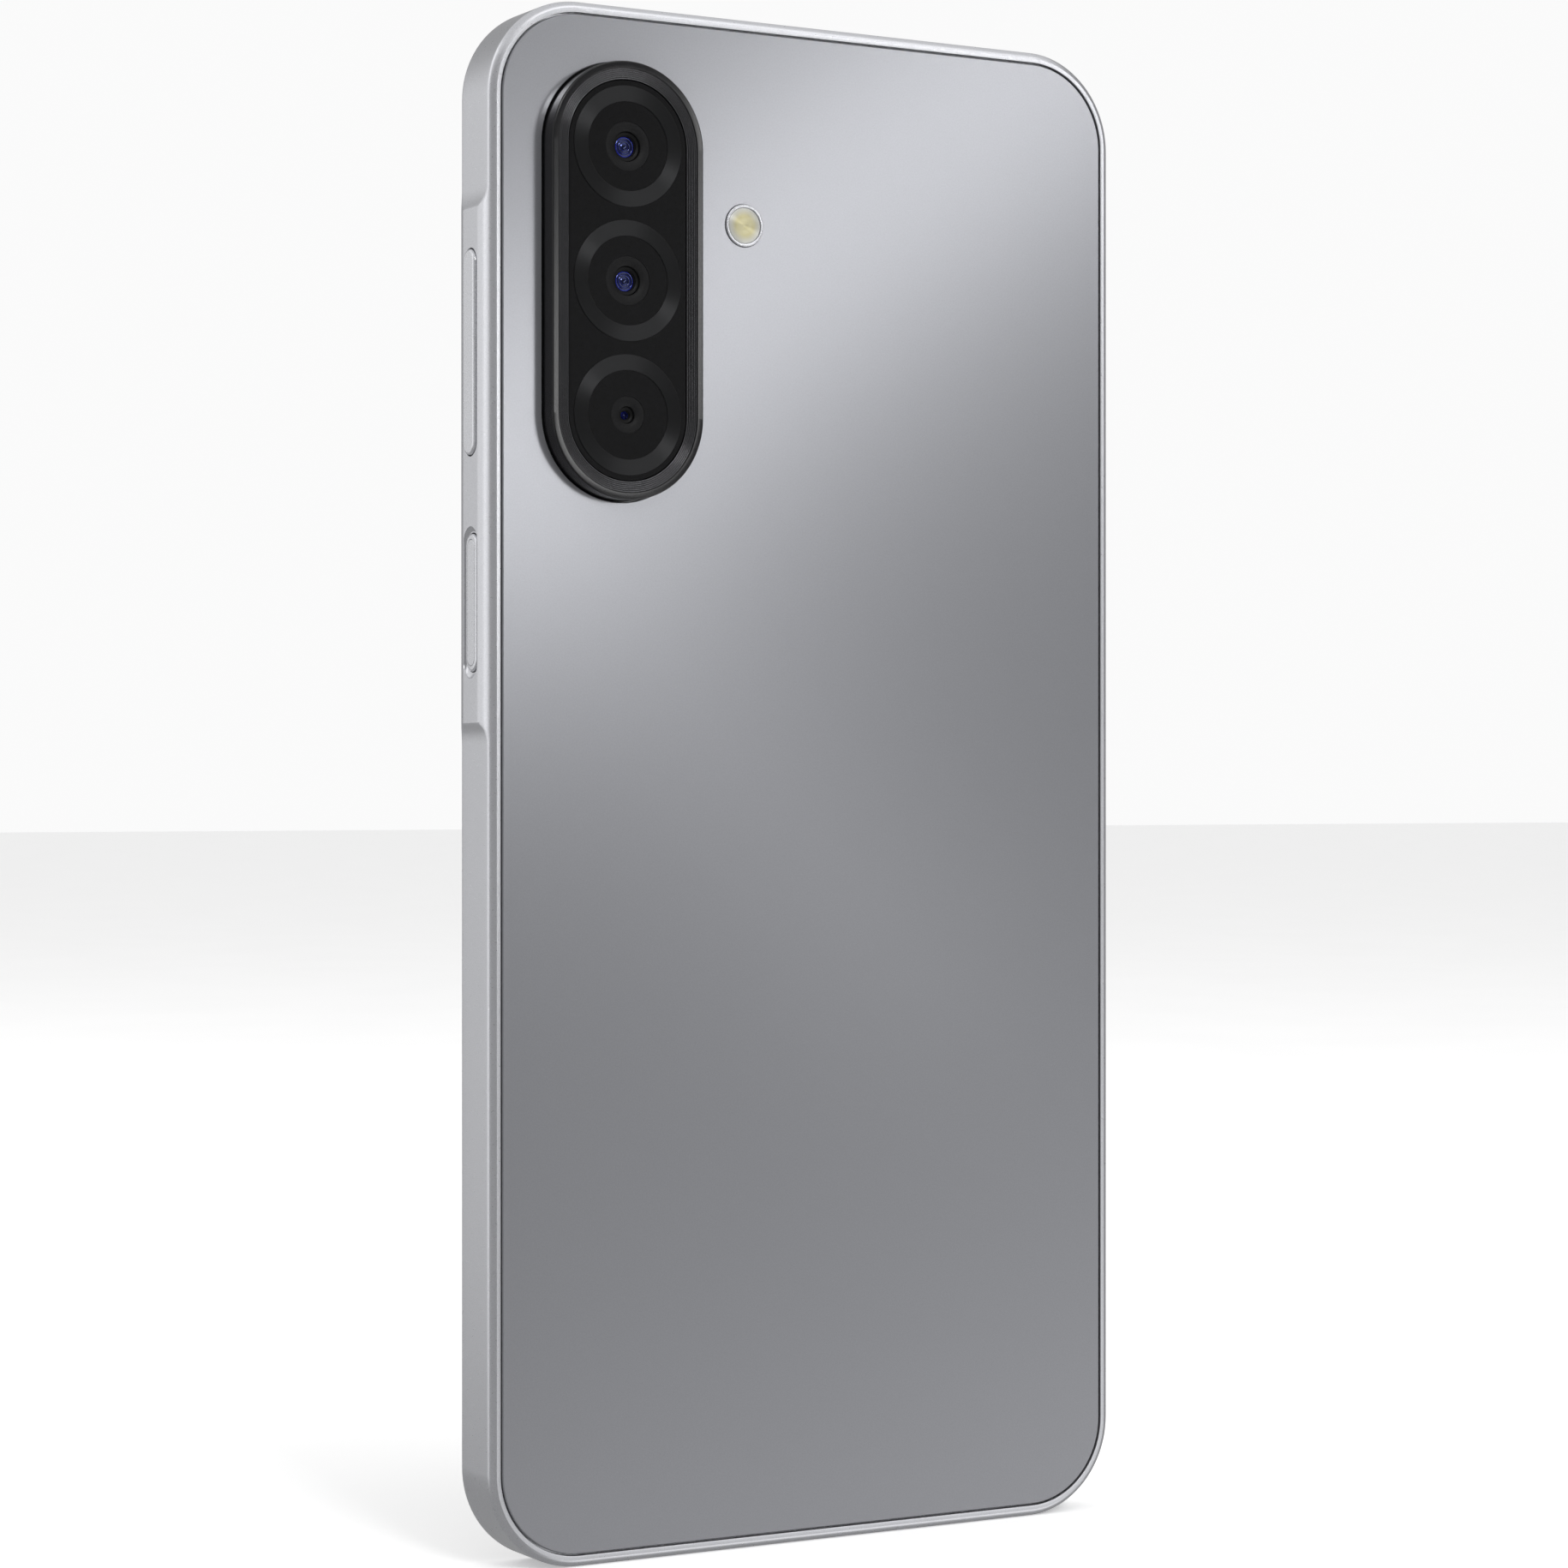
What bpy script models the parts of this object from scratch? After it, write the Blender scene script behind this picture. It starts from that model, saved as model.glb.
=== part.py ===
"""A smartphone with a raised three-lens camera island, built as an assembly of separate pieces.

World frame: metres, +Z up the height of the phone, which stands on its bottom edge. -Y is the
rear, where the cameras look out, +Y is the display, and -X is the side with the keys. The origin
is under the middle of the phone, halfway through its depth with the camera island included.

Every size below is in millimetres. A place is (x, depth, v): x across, depth from the plane of
the rear cover towards the display, and v up from the middle of the height.
"""

import math

import bmesh
import bpy
from mathutils import Vector

MM = 0.001

# Overall size
BODY_WIDTH = 77.8
BODY_HEIGHT = 164.4
BODY_DEPTH = 7.5
ISLAND_HEIGHT = 2.2
CORNER_RADIUS = 10.4
REAR_PLANE = -(BODY_DEPTH + ISLAND_HEIGHT) / 2 + ISLAND_HEIGHT
HALF_WIDTH = BODY_WIDTH / 2
HALF_HEIGHT = BODY_HEIGHT / 2
MID_DEPTH = BODY_DEPTH / 2

# Fits
SEAM = 0.2
KEY_GAP = 0.12
CLEAR = 0.1
CORNER_STEPS = 8
SLOT_STEPS = 5
ROUND_STEPS = 24

# Side frame: a band with wide round edges, a flat side cut into them, and a ledge for each cover
RIM_INSET = 1.21
EDGE_RADIUS = 2.51
REAR_EDGE_CENTRE = 2.15
FRONT_EDGE_CENTRE = 5.4
FRONT_RIM_DEPTH = 7.42
FRONT_RIM_INSET = 0.82
WALL_INSET = 1.7
REAR_LEDGE = (2.9, 0.98, 1.85)
FRONT_LEDGE = (2.3, 5.75, 6.55)
EDGE_STEPS = 4

# Stretch of the side that keeps its full roundness and holds the keys
KEY_ISLAND_HEIGHT = 0.5
KEY_ISLAND_V = (6.36, 60.14)
KEY_ISLAND_RAMP = 2.2
RAMP_STEPS = 3

# Covers
COVER_INSET = RIM_INSET + SEAM
COVER_THICKNESS = 0.7
COVER_EDGE = 0.15
GLASS_INSET = 0.97
GLASS_REAR = 6.85
GLASS_EDGE = 0.2
PANEL_DEPTH = (6.1, 6.78)
PANEL_INSET = 2.45
MID_PLATE_DEPTH = (5.5, 6.0)

# Camera island
ISLAND_X = -23.84
ISLAND_V = 52.92
ISLAND_RADIUS = 8.95
LENS_PITCH = 14.12
WINDOW_RADIUS = 6.95
WINDOW_DEPTH = (-1.95, -1.15)
RIDGE_COUNT = 5
RIDGE_OUTER = 8.3
RIDGE_TOP = -2.14
RIDGE_DROP = 0.05
LENS_RING = (4.72, 6.36)
LENS_RING_DEPTH = (-2.12, -2.0)
LENS_V = {"top": ISLAND_V + LENS_PITCH, "middle": ISLAND_V, "bottom": ISLAND_V - LENS_PITCH}
FLASH_X = -8.74
FLASH_V = 60.0
FLASH_RADIUS = 2.27

# Keys
VOLUME_V = 45.08
VOLUME_LENGTH = 21.5
VOLUME_PROUD = 0.3
POWER_V = 18.94
POWER_LENGTH = 14.4
POWER_SUNK = 0.05
KEY_WIDTH = 2.65
KEY_RECESS = (15.9, 3.3, 0.35)
SWITCH_OFFSET = 5.2
FLANGE_X = (-36.9, -36.5)
FLANGE_LIP = 0.6
FOOT_RADIUS = 0.7
VOLUME_FOOT_END = -36.15
POWER_FOOT_END = -36.3
SWITCH_X = (-36.0, -35.6)
KEY_FLEX_X = (-35.5, -35.3)

# SIM tray, on the side opposite the keys
TRAY_V = 46.0
TRAY_LENGTH = 24.06
TRAY_HEAD_HEIGHT = 2.5
TRAY_REACH = 17.9
TRAY_THICKNESS = 0.9
EJECT_HOLE = 0.45

# Bottom edge
PORT_SIZE = (9.1, 3.35)
PORT_CHAMFER = 0.25
SHELL_SIZE = (8.94, 3.2)
SHELL_WALL = 0.3
SHELL_V = (-81.6, -74.5)
SPEAKER_SLOTS = [-24.6 + 2.4 * index for index in range(6)]
SLOT_SIZE = (1.7, 1.1)
MICROPHONE_X = 12.5
MICROPHONE_RADIUS = 0.6

# Inside
BOARD_DEPTH = (4.45, 5.15)
BRACKET_DEPTH = (1.95, 2.4)
BATTERY_SIZE = (66.0, 82.0)
BATTERY_V = -13.5
BATTERY_DEPTH = (1.25, 5.3)
SCREW_PLACES = [(-10.6, 34.6), (32.6, 63.2), (-10.6, 74.6), (24.6, 74.6), (-31.0, -64.4), (-11.0, -64.4)]
SCREW_HEAD = (1.1, 0.4)
SCREW_SHANK = 0.5
SCREW_HOLE = 0.65
MOTOR_PLACE = (26.0, -69.5)
MOTOR_RADIUS = 4.0
FRONT_CAMERA_V = 75.6

FINISHES = {
    "frame_paint": ((0.58, 0.59, 0.61), 0.38, 0.6),
    "cover_satin": ((0.42, 0.43, 0.45), 0.3, 0.5),
    "black_gloss": ((0.012, 0.012, 0.014), 0.15, 0.0),
    "black_matte": ((0.02, 0.02, 0.022), 0.6, 0.0),
    "ring_metal": ((0.09, 0.09, 0.1), 0.35, 1.0),
    "key_metal": ((0.62, 0.63, 0.65), 0.3, 0.8),
    "clear_glass": ((0.05, 0.05, 0.06), 0.05, 0.0),
    "lens_coating": ((0.02, 0.03, 0.16), 0.05, 0.0),
    "flash_yellow": ((0.85, 0.8, 0.5), 0.35, 0.0),
    "steel": ((0.6, 0.6, 0.6), 0.35, 1.0),
    "alloy": ((0.5, 0.5, 0.52), 0.45, 0.9),
    "board_green": ((0.02, 0.12, 0.06), 0.5, 0.0),
    "battery_wrap": ((0.04, 0.04, 0.045), 0.45, 0.1),
    "flex_amber": ((0.45, 0.2, 0.04), 0.4, 0.0),
    "copper": ((0.72, 0.35, 0.2), 0.3, 1.0),
    "rubber_grey": ((0.12, 0.12, 0.13), 0.8, 0.0),
}


# ---------------------------------------------------------------- tools


def clear_scene():
    for old in list(bpy.data.objects):
        bpy.data.objects.remove(old)


def finish(name):
    """The Principled material of that name, made the first time it is asked for."""
    if name in bpy.data.materials:
        return bpy.data.materials[name]
    colour, roughness, metallic = FINISHES[name]
    made = bpy.data.materials.new(name)
    made.use_nodes = True
    shader = made.node_tree.nodes["Principled BSDF"]
    shader.inputs["Base Color"].default_value = (*colour, 1.0)
    shader.inputs["Roughness"].default_value = roughness
    shader.inputs["Metallic"].default_value = metallic
    return made


def without_repeats(points):
    """The outline with no point twice in a row."""
    kept = []
    for point in points:
        if not kept or math.dist(point, kept[-1]) > 1e-6:
            kept.append(point)
    return kept if math.dist(kept[0], kept[-1]) > 1e-6 else kept[:-1]


def rounded_rect(width, height, radius, steps=CORNER_STEPS):
    """A rectangle about the origin with a round arc at each corner, counter-clockwise."""
    points = []
    for quarter in range(4):
        side_x = 1 if quarter in (0, 3) else -1
        side_y = 1 if quarter in (0, 1) else -1
        for step in range(steps + 1):
            angle = (quarter + step / steps) * math.pi / 2
            x = side_x * (width / 2 - radius) + radius * math.cos(angle)
            y = side_y * (height / 2 - radius) + radius * math.sin(angle)
            points.append((x, y))
    return without_repeats(points)


def stadium(width, length, steps=SLOT_STEPS):
    """A slot with round ends, its long side along the second axis."""
    return rounded_rect(width, length, min(width, length) / 2, steps)


def circle(radius, steps=ROUND_STEPS):
    turn = 2 * math.pi / steps
    return [(radius * math.cos(turn * i), radius * math.sin(turn * i)) for i in range(steps)]


def along_depth(outline, depth):
    """The outline (x, v) at that depth."""
    return [Vector((x, depth, v)) for x, v in outline]


def along_width(outline, x):
    """The outline (depth, v) at that x."""
    return [Vector((x, depth, v)) for depth, v in outline]


def along_height(outline, v):
    """The outline (x, depth) at that v."""
    return [Vector((x, depth, v)) for x, depth in outline]


def make(name, mesh_edit, look, place=(0, 0, 0)):
    """Turns the bmesh into an object of that finish, at a place under the phone's own empty."""
    bmesh.ops.remove_doubles(mesh_edit, verts=mesh_edit.verts, dist=1e-5)
    bmesh.ops.recalc_face_normals(mesh_edit, faces=mesh_edit.faces)
    bmesh.ops.scale(mesh_edit, vec=(MM, MM, MM), verts=mesh_edit.verts)
    mesh = bpy.data.meshes.new(name)
    mesh_edit.to_mesh(mesh)
    mesh_edit.free()
    mesh.shade_smooth()
    mesh.set_sharp_from_angle(angle=math.radians(35))
    mesh.materials.append(finish(look))
    made = bpy.data.objects.new(name, mesh)
    bpy.context.scene.collection.objects.link(made)
    made.parent = bpy.data.objects["phone"]
    made.location = Vector(place) * MM
    return made


def skin(loops, ring=False):
    """A closed bmesh through loops of equal length: capped at both ends, or joined into a ring."""
    made = bmesh.new()
    rows = [[made.verts.new(point) for point in loop] for loop in loops]
    pairs = list(zip(rows, rows[1:] + rows[:1])) if ring else list(zip(rows, rows[1:]))
    for first, second in pairs:
        for i in range(len(first)):
            j = (i + 1) % len(first)
            made.faces.new((first[i], first[j], second[j], second[i]))
    if not ring:
        made.faces.new(reversed(rows[0]))
        made.faces.new(rows[-1])
    return made


def prism(outline, low, high, along=along_depth):
    return skin([along(outline, low), along(outline, high)])


def cup(outer, inner, closed_at, open_at, wall, along=along_depth):
    """A can: closed at one end by a wall of that thickness, open at the other."""
    ceiling = closed_at + math.copysign(wall, open_at - closed_at)
    loops = [along(inner, ceiling), along(inner, open_at), along(outer, open_at), along(outer, closed_at)]
    return skin(loops)


def turned(profile, steps=ROUND_STEPS):
    """A bmesh turned about the depth axis. The profile is (radius, depth), from the axis to the axis."""
    made = bmesh.new()
    rows = []
    for radius, depth in profile:
        if radius == 0:
            rows.append([made.verts.new((0, depth, 0))])
        else:
            rows.append([made.verts.new((x, depth, v)) for x, v in circle(radius, steps)])
    for first, second in zip(rows, rows[1:]):
        for i in range(steps):
            j = (i + 1) % steps
            corners = [first[i % len(first)], first[j % len(first)]]
            corners += [second[j % len(second)], second[i % len(second)]]
            made.faces.new(list(dict.fromkeys(corners)))
    return made


def washer(inner, outer, low, high, steps=ROUND_STEPS):
    """A flat round ring."""
    corners = ((outer, low), (outer, high), (inner, high), (inner, low))
    return skin([along_depth(circle(radius, steps), depth) for radius, depth in corners], ring=True)


def soften(part, width, segments=2):
    """Rounds the part's sharp edges."""
    bevel = part.modifiers.new("soft edges", "BEVEL")
    bevel.width = width * MM
    bevel.segments = segments
    bevel.limit_method = "ANGLE"
    bevel.angle_limit = math.radians(50)
    return part


def change(part, tool, operation):
    """Keeps a Boolean on the part, with the tool as a hidden helper."""
    tool.hide_render = True
    tool.display_type = "WIRE"
    boolean = part.modifiers.new(tool.name, "BOOLEAN")
    boolean.operation = operation
    boolean.object = tool
    return part


def cut(part, name, mesh_edit, place=(0, 0, 0)):
    return change(part, make(part.name + "_" + name, mesh_edit, "black_matte", place), "DIFFERENCE")


def add(part, name, mesh_edit, place=(0, 0, 0)):
    return change(part, make(part.name + "_" + name, mesh_edit, "black_matte", place), "UNION")


def body_outline(inset):
    """The phone's outline, moved inwards."""
    return rounded_rect(BODY_WIDTH - 2 * inset, BODY_HEIGHT - 2 * inset, CORNER_RADIUS - inset)


def island_outline(radius):
    """The camera island's outline at that distance from the line through its lenses."""
    return stadium(2 * radius, 2 * LENS_PITCH + 2 * radius, CORNER_STEPS)


# ---------------------------------------------------------------- outer shell


def edge_arc(centre, first_depth, last_depth):
    """Points (inset, depth) of a round edge, whose crest stands as high as the key island."""
    points = []
    for step in range(EDGE_STEPS + 1):
        depth = first_depth + (last_depth - first_depth) * step / EDGE_STEPS
        drop = EDGE_RADIUS - math.sqrt(max(EDGE_RADIUS**2 - (depth - centre) ** 2, 0.0))
        points.append((drop - KEY_ISLAND_HEIGHT, depth))
    return points


def frame_profile():
    """The band's section as (inset, depth), round from the rear rim to the front rim and back inside."""
    reach = math.sqrt(EDGE_RADIUS**2 - (EDGE_RADIUS - KEY_ISLAND_HEIGHT) ** 2)
    rear_crease = REAR_EDGE_CENTRE - reach
    front_crease = FRONT_EDGE_CENTRE + reach
    outside = [(RIM_INSET, 0.0)]
    outside += edge_arc(REAR_EDGE_CENTRE, 0.0, rear_crease)
    outside += edge_arc(REAR_EDGE_CENTRE, rear_crease, REAR_EDGE_CENTRE)[1:]
    outside += edge_arc(FRONT_EDGE_CENTRE, FRONT_EDGE_CENTRE, front_crease)
    outside += edge_arc(FRONT_EDGE_CENTRE, front_crease, FRONT_RIM_DEPTH)[1:]
    inside = [
        (FRONT_RIM_INSET, FRONT_RIM_DEPTH),
        (FRONT_RIM_INSET, FRONT_LEDGE[2]),
        (FRONT_LEDGE[0], FRONT_LEDGE[2]),
        (FRONT_LEDGE[0], FRONT_LEDGE[1]),
        (WALL_INSET, FRONT_LEDGE[1]),
        (WALL_INSET, REAR_LEDGE[2]),
        (REAR_LEDGE[0], REAR_LEDGE[2]),
        (REAR_LEDGE[0], REAR_LEDGE[1]),
        (RIM_INSET, REAR_LEDGE[1]),
    ]
    return outside + inside


def key_island_heights():
    """How high the side may stand at each v down the key island: (v, height), with a hollow ramp at each end."""
    low, high = KEY_ISLAND_V
    ramp = [step / RAMP_STEPS for step in range(RAMP_STEPS, -1, -1)]
    above = [(high + KEY_ISLAND_RAMP * t, KEY_ISLAND_HEIGHT * (1 - t) ** 2) for t in ramp]
    below = [(low - KEY_ISLAND_RAMP * t, KEY_ISLAND_HEIGHT * (1 - t) ** 2) for t in reversed(ramp)]
    return above + below


def frame_loop(inset, depth):
    """One loop round the phone at that depth. The side is cut flat, except along the key island."""
    outline = body_outline(max(inset, 0.0))
    left = min(x for x, _ in outline)
    loop = []
    for index, (x, v) in enumerate(outline):
        loop.append(Vector((x, depth, v)))
        following = outline[(index + 1) % len(outline)]
        if abs(x - left) < 1e-6 and abs(following[0] - left) < 1e-6:
            for station, height in key_island_heights():
                loop.append(Vector((-HALF_WIDTH + max(inset, -height), depth, station)))
    return loop


def build_side_frame():
    loops = [frame_loop(inset, depth) for inset, depth in frame_profile()]
    frame = make("side_frame", skin(loops, ring=True), "frame_paint")
    through = (-HALF_WIDTH - 2, -HALF_WIDTH + 3)
    key_slot = KEY_WIDTH + 2 * KEY_GAP
    for name, v, length in (("volume_slot", VOLUME_V, VOLUME_LENGTH), ("power_slot", POWER_V, POWER_LENGTH)):
        slot = prism(stadium(key_slot, length + 2 * KEY_GAP), *through, along_width)
        cut(frame, name, slot, (0, MID_DEPTH, v))
    recess_length, recess_width, recess_depth = KEY_RECESS
    floor = -HALF_WIDTH - KEY_ISLAND_HEIGHT + recess_depth
    dish = skin(
        [
            along_width(stadium(recess_width - 0.3, recess_length - 0.3), floor),
            along_width(stadium(recess_width + 0.2, recess_length + 0.2), floor - recess_depth - 0.1),
        ]
    )
    cut(frame, "power_recess", dish, (0, MID_DEPTH, POWER_V))
    tray_slot = stadium(TRAY_HEAD_HEIGHT + 2 * KEY_GAP, TRAY_LENGTH + 2 * KEY_GAP)
    cut(frame, "tray_slot", prism(tray_slot, HALF_WIDTH - 3, HALF_WIDTH + 1, along_width), (0, MID_DEPTH, TRAY_V))
    below = (-HALF_HEIGHT - 1, -HALF_HEIGHT + 2.4)
    cut(frame, "port", prism(stadium(*PORT_SIZE), *below, along_height), (0, MID_DEPTH, 0))
    flare = 1 + PORT_CHAMFER
    mouth = skin(
        [
            along_height(stadium(PORT_SIZE[0] + 2 * flare, PORT_SIZE[1] + 2 * flare), -HALF_HEIGHT - 1),
            along_height(stadium(*PORT_SIZE), -HALF_HEIGHT + PORT_CHAMFER),
        ]
    )
    cut(frame, "port_mouth", mouth, (0, MID_DEPTH, 0))
    for index, x in enumerate(SPEAKER_SLOTS):
        cut(frame, f"speaker_{index}", prism(stadium(*SLOT_SIZE, 4), *below, along_height), (x, MID_DEPTH, 0))
    hole = circle(MICROPHONE_RADIUS, 12)
    cut(frame, "microphone", prism(hole, *below, along_height), (MICROPHONE_X, MID_DEPTH, 0))
    above = (HALF_HEIGHT - 2.4, HALF_HEIGHT + 1)
    cut(frame, "top_microphone", prism(hole, *above, along_height), (MICROPHONE_X, MID_DEPTH, 0))


def build_covers():
    rear_loops = [
        along_depth(body_outline(COVER_INSET + COVER_EDGE), 0.0),
        along_depth(body_outline(COVER_INSET), COVER_EDGE),
        along_depth(body_outline(COVER_INSET), COVER_THICKNESS),
    ]
    rear = make("rear_cover", skin(rear_loops), "cover_satin")
    island_hole = prism(island_outline(ISLAND_RADIUS + KEY_GAP), -1, 2)
    cut(rear, "island_hole", island_hole, (ISLAND_X, 0, ISLAND_V))
    cut(rear, "flash_hole", prism(circle(FLASH_RADIUS + CLEAR), -1, 2), (FLASH_X, 0, FLASH_V))

    glass_loops = [
        along_depth(body_outline(GLASS_INSET), GLASS_REAR),
        along_depth(body_outline(GLASS_INSET), BODY_DEPTH - GLASS_EDGE),
        along_depth(body_outline(GLASS_INSET + GLASS_EDGE / 3), BODY_DEPTH - GLASS_EDGE / 3),
        along_depth(body_outline(GLASS_INSET + GLASS_EDGE), BODY_DEPTH),
    ]
    glass = make("display_glass", skin(glass_loops), "clear_glass")
    notch = prism(rounded_rect(14.4, 1.4, 0.35, 3), 6, 8)
    cut(glass, "earpiece_notch", notch, (0, 0, HALF_HEIGHT - GLASS_INSET - 0.2))
    mesh_strip = prism(rounded_rect(14.0, 0.6, 0.29, 3), 6.9, 7.4)
    make("earpiece_mesh", mesh_strip, "black_matte", (0, 0, HALF_HEIGHT - GLASS_INSET - 0.46))

    panel = make("display_panel", prism(body_outline(PANEL_INSET), *PANEL_DEPTH), "black_gloss")
    cut(panel, "camera_hole", prism(circle(1.9), 5, 8), (0, 0, FRONT_CAMERA_V))
    plate = make("mid_plate", prism(body_outline(PANEL_INSET), *MID_PLATE_DEPTH), "alloy")
    cut(plate, "camera_hole", prism(circle(2.8), 5, 8), (0, 0, FRONT_CAMERA_V))
    cut(plate, "flex_slot", prism(rounded_rect(20, 3, 1.4, 3), 5, 8), (14, 0, -58))


def build_adhesives():
    """Thin gaskets that seal each cover to its ledge."""
    for name, low, high, outer, inner in (
        ("rear_cover_adhesive", 0.76, 0.92, COVER_INSET + 0.05, REAR_LEDGE[0] - 0.1),
        ("display_adhesive", 6.61, 6.79, GLASS_INSET + 0.05, FRONT_LEDGE[0] - 0.05),
    ):
        corners = ((outer, low), (outer, high), (inner, high), (inner, low))
        loops = [along_depth(body_outline(inset), depth) for inset, depth in corners]
        make(name, skin(loops, ring=True), "black_matte")


# ---------------------------------------------------------------- camera island


def bezel_profile():
    """The bezel's section as (distance from the lens line, depth)."""
    step = (RIDGE_OUTER - WINDOW_RADIUS - CLEAR) / RIDGE_COUNT
    section = [(9.7, 1.3), (9.7, COVER_THICKNESS + CLEAR), (ISLAND_RADIUS, COVER_THICKNESS + CLEAR)]
    section += [(ISLAND_RADIUS, -ISLAND_HEIGHT + 0.15), (ISLAND_RADIUS - 0.05, -ISLAND_HEIGHT + 0.05)]
    section += [(ISLAND_RADIUS - 0.15, -ISLAND_HEIGHT), (RIDGE_OUTER + 0.15, -ISLAND_HEIGHT)]
    for index in range(RIDGE_COUNT):
        top = RIDGE_TOP + index * RIDGE_DROP
        section.append((RIDGE_OUTER - index * step, top))
        section.append((RIDGE_OUTER - (index + 0.8) * step, top))
    window_edge = WINDOW_RADIUS + CLEAR
    section += [(window_edge, RIDGE_TOP + RIDGE_COUNT * RIDGE_DROP), (window_edge, -0.95)]
    section += [(6.3, -0.95), (6.3, -0.75), (7.9, -0.75), (7.9, 1.3)]
    return section


def build_camera_island():
    place = (ISLAND_X, 0, ISLAND_V)
    loops = [along_depth(island_outline(radius), depth) for radius, depth in bezel_profile()]
    make("camera_bezel", skin(loops, ring=True), "black_gloss", place)
    make("camera_window", prism(island_outline(WINDOW_RADIUS), *WINDOW_DEPTH), "clear_glass", place)
    mask = make("camera_window_mask", prism(island_outline(WINDOW_RADIUS), -1.1, -1.02), "black_gloss", place)
    for where, v in LENS_V.items():
        aperture = 2.0 if where == "bottom" else 2.65
        cut(mask, "aperture_" + where, prism(circle(aperture), -2, 0), (ISLAND_X, 0, v))
        make("lens_ring_" + where, washer(*LENS_RING, *LENS_RING_DEPTH, 36), "ring_metal", (ISLAND_X, 0, v))


def lens_barrel(name, outer, eye, end, place):
    """A lens barrel with a stepped hood round the front element, which sits in its own seat."""
    front = -0.7
    hood = [(0, 0.5), (eye + 0.15, 0.5), (eye + 0.15, -0.1), (eye + 0.5, -0.2), (eye + 0.6, -0.42)]
    rim = [(eye + 1.2, front + 0.08), (eye + 1.45, front), (outer - 0.15, front), (outer, front + 0.15)]
    return make(name, turned(hood + rim + [(outer, end), (0, end)]), "black_matte", place)


def front_element(name, eye, place):
    """A lens element with a domed front."""
    dome = [(eye * math.cos(angle), 0.05 - 0.4 * math.sin(angle)) for angle in (0, 0.35, 0.7, 1.1)]
    return make(name, turned([(0, 0.42), (eye, 0.42)] + dome + [(0, -0.35)], 16), "lens_coating", place)


def build_cameras():
    cameras = (
        ("ultra_wide_camera", "top", 9.0, 3.4, 1.1),
        ("main_camera", "middle", 12.0, 3.9, 1.08),
        ("macro_camera", "bottom", 8.0, 2.9, 0.55),
    )
    for name, where, side, outer, eye in cameras:
        place = (ISLAND_X, 0, LENS_V[where])
        housing = make(name + "_housing", prism(rounded_rect(side, side, 0.6, 3), 1.5, 5.3), "steel", place)
        end = 1.35
        if name == "main_camera":
            cut(housing, "bore", prism(circle(outer + 0.15), 0, 4.4), place)
            end = 3.9
        lens_barrel(name + "_barrel", outer, eye, end, place)
        front_element(name + "_lens", eye, place)


def build_flash():
    place = (FLASH_X, 0, FLASH_V)
    inner = FLASH_RADIUS - 0.3
    make("flash_bezel", washer(inner, FLASH_RADIUS, -0.22, COVER_THICKNESS), "key_metal", place)
    lens = [(0, 0.6), (inner - 0.08, 0.6), (inner - 0.08, -0.12), (inner - 0.5, -0.2), (0, -0.22)]
    make("flash_lens", turned(lens), "flash_yellow", place)
    make("flash_led", prism(rounded_rect(2.2, 2.2, 0.3, 2), 0.85, 1.6), "flash_yellow", place)


# ---------------------------------------------------------------- keys and tray


def key_cap(outer_x, length, place):
    """A key's cap and the flange that holds it in the frame, with x counted from the place."""
    edge = 0.25
    loops = [
        along_width(stadium(KEY_WIDTH - 2 * edge, length - 2 * edge), outer_x - place[0]),
        along_width(stadium(KEY_WIDTH, length), outer_x - place[0] + edge),
        along_width(stadium(KEY_WIDTH, length), FLANGE_X[0] - place[0]),
        along_width(stadium(KEY_WIDTH + FLANGE_LIP, length + FLANGE_LIP), FLANGE_X[0] - place[0]),
        along_width(stadium(KEY_WIDTH + FLANGE_LIP, length + FLANGE_LIP), FLANGE_X[1] - place[0]),
    ]
    return skin(loops)


def build_keys():
    foot_start = FLANGE_X[1] - 0.2
    foot = circle(FOOT_RADIUS, 12)
    island_x = -HALF_WIDTH - KEY_ISLAND_HEIGHT

    pivot = (FLANGE_X[1], MID_DEPTH, VOLUME_V)
    volume = make("volume_key", key_cap(island_x - VOLUME_PROUD, VOLUME_LENGTH, pivot), "key_metal", pivot)
    for name, offset in (("upper_foot", SWITCH_OFFSET), ("lower_foot", -SWITCH_OFFSET)):
        pad = prism(foot, foot_start, VOLUME_FOOT_END, along_width)
        add(volume, name, pad, (0, MID_DEPTH, VOLUME_V + offset))

    rest = (island_x + POWER_SUNK, MID_DEPTH, POWER_V)
    power = make("power_key", key_cap(rest[0], POWER_LENGTH, rest), "key_metal", rest)
    add(power, "foot", prism(foot, foot_start, POWER_FOOT_END, along_width), (0, MID_DEPTH, POWER_V))
    pocket = prism(stadium(1.75, 13.25), -1, 0.3, along_width)
    cut(power, "sensor_pocket", pocket, rest)
    sensor = prism(stadium(1.65, 13.15), -0.02, 0.25, along_width)
    make("fingerprint_sensor", sensor, "key_metal", rest)

    strip = prism(rounded_rect(2.6, 48.0, 0.8, 3), *KEY_FLEX_X, along_width)
    make("side_key_flex", strip, "flex_amber", (0, MID_DEPTH, 34.0))
    switches = (
        ("volume_up_switch", VOLUME_V + SWITCH_OFFSET),
        ("volume_down_switch", VOLUME_V - SWITCH_OFFSET),
        ("power_switch", POWER_V),
    )
    for name, v in switches:
        body = skin(
            [
                along_width(rounded_rect(1.2, 1.6, 0.5, 3), SWITCH_X[0]),
                along_width(rounded_rect(2.2, 3.0, 0.5, 3), SWITCH_X[0] + 0.2),
                along_width(rounded_rect(2.2, 3.0, 0.5, 3), SWITCH_X[1]),
            ]
        )
        make(name, body, "steel", (0, MID_DEPTH, v))


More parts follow.
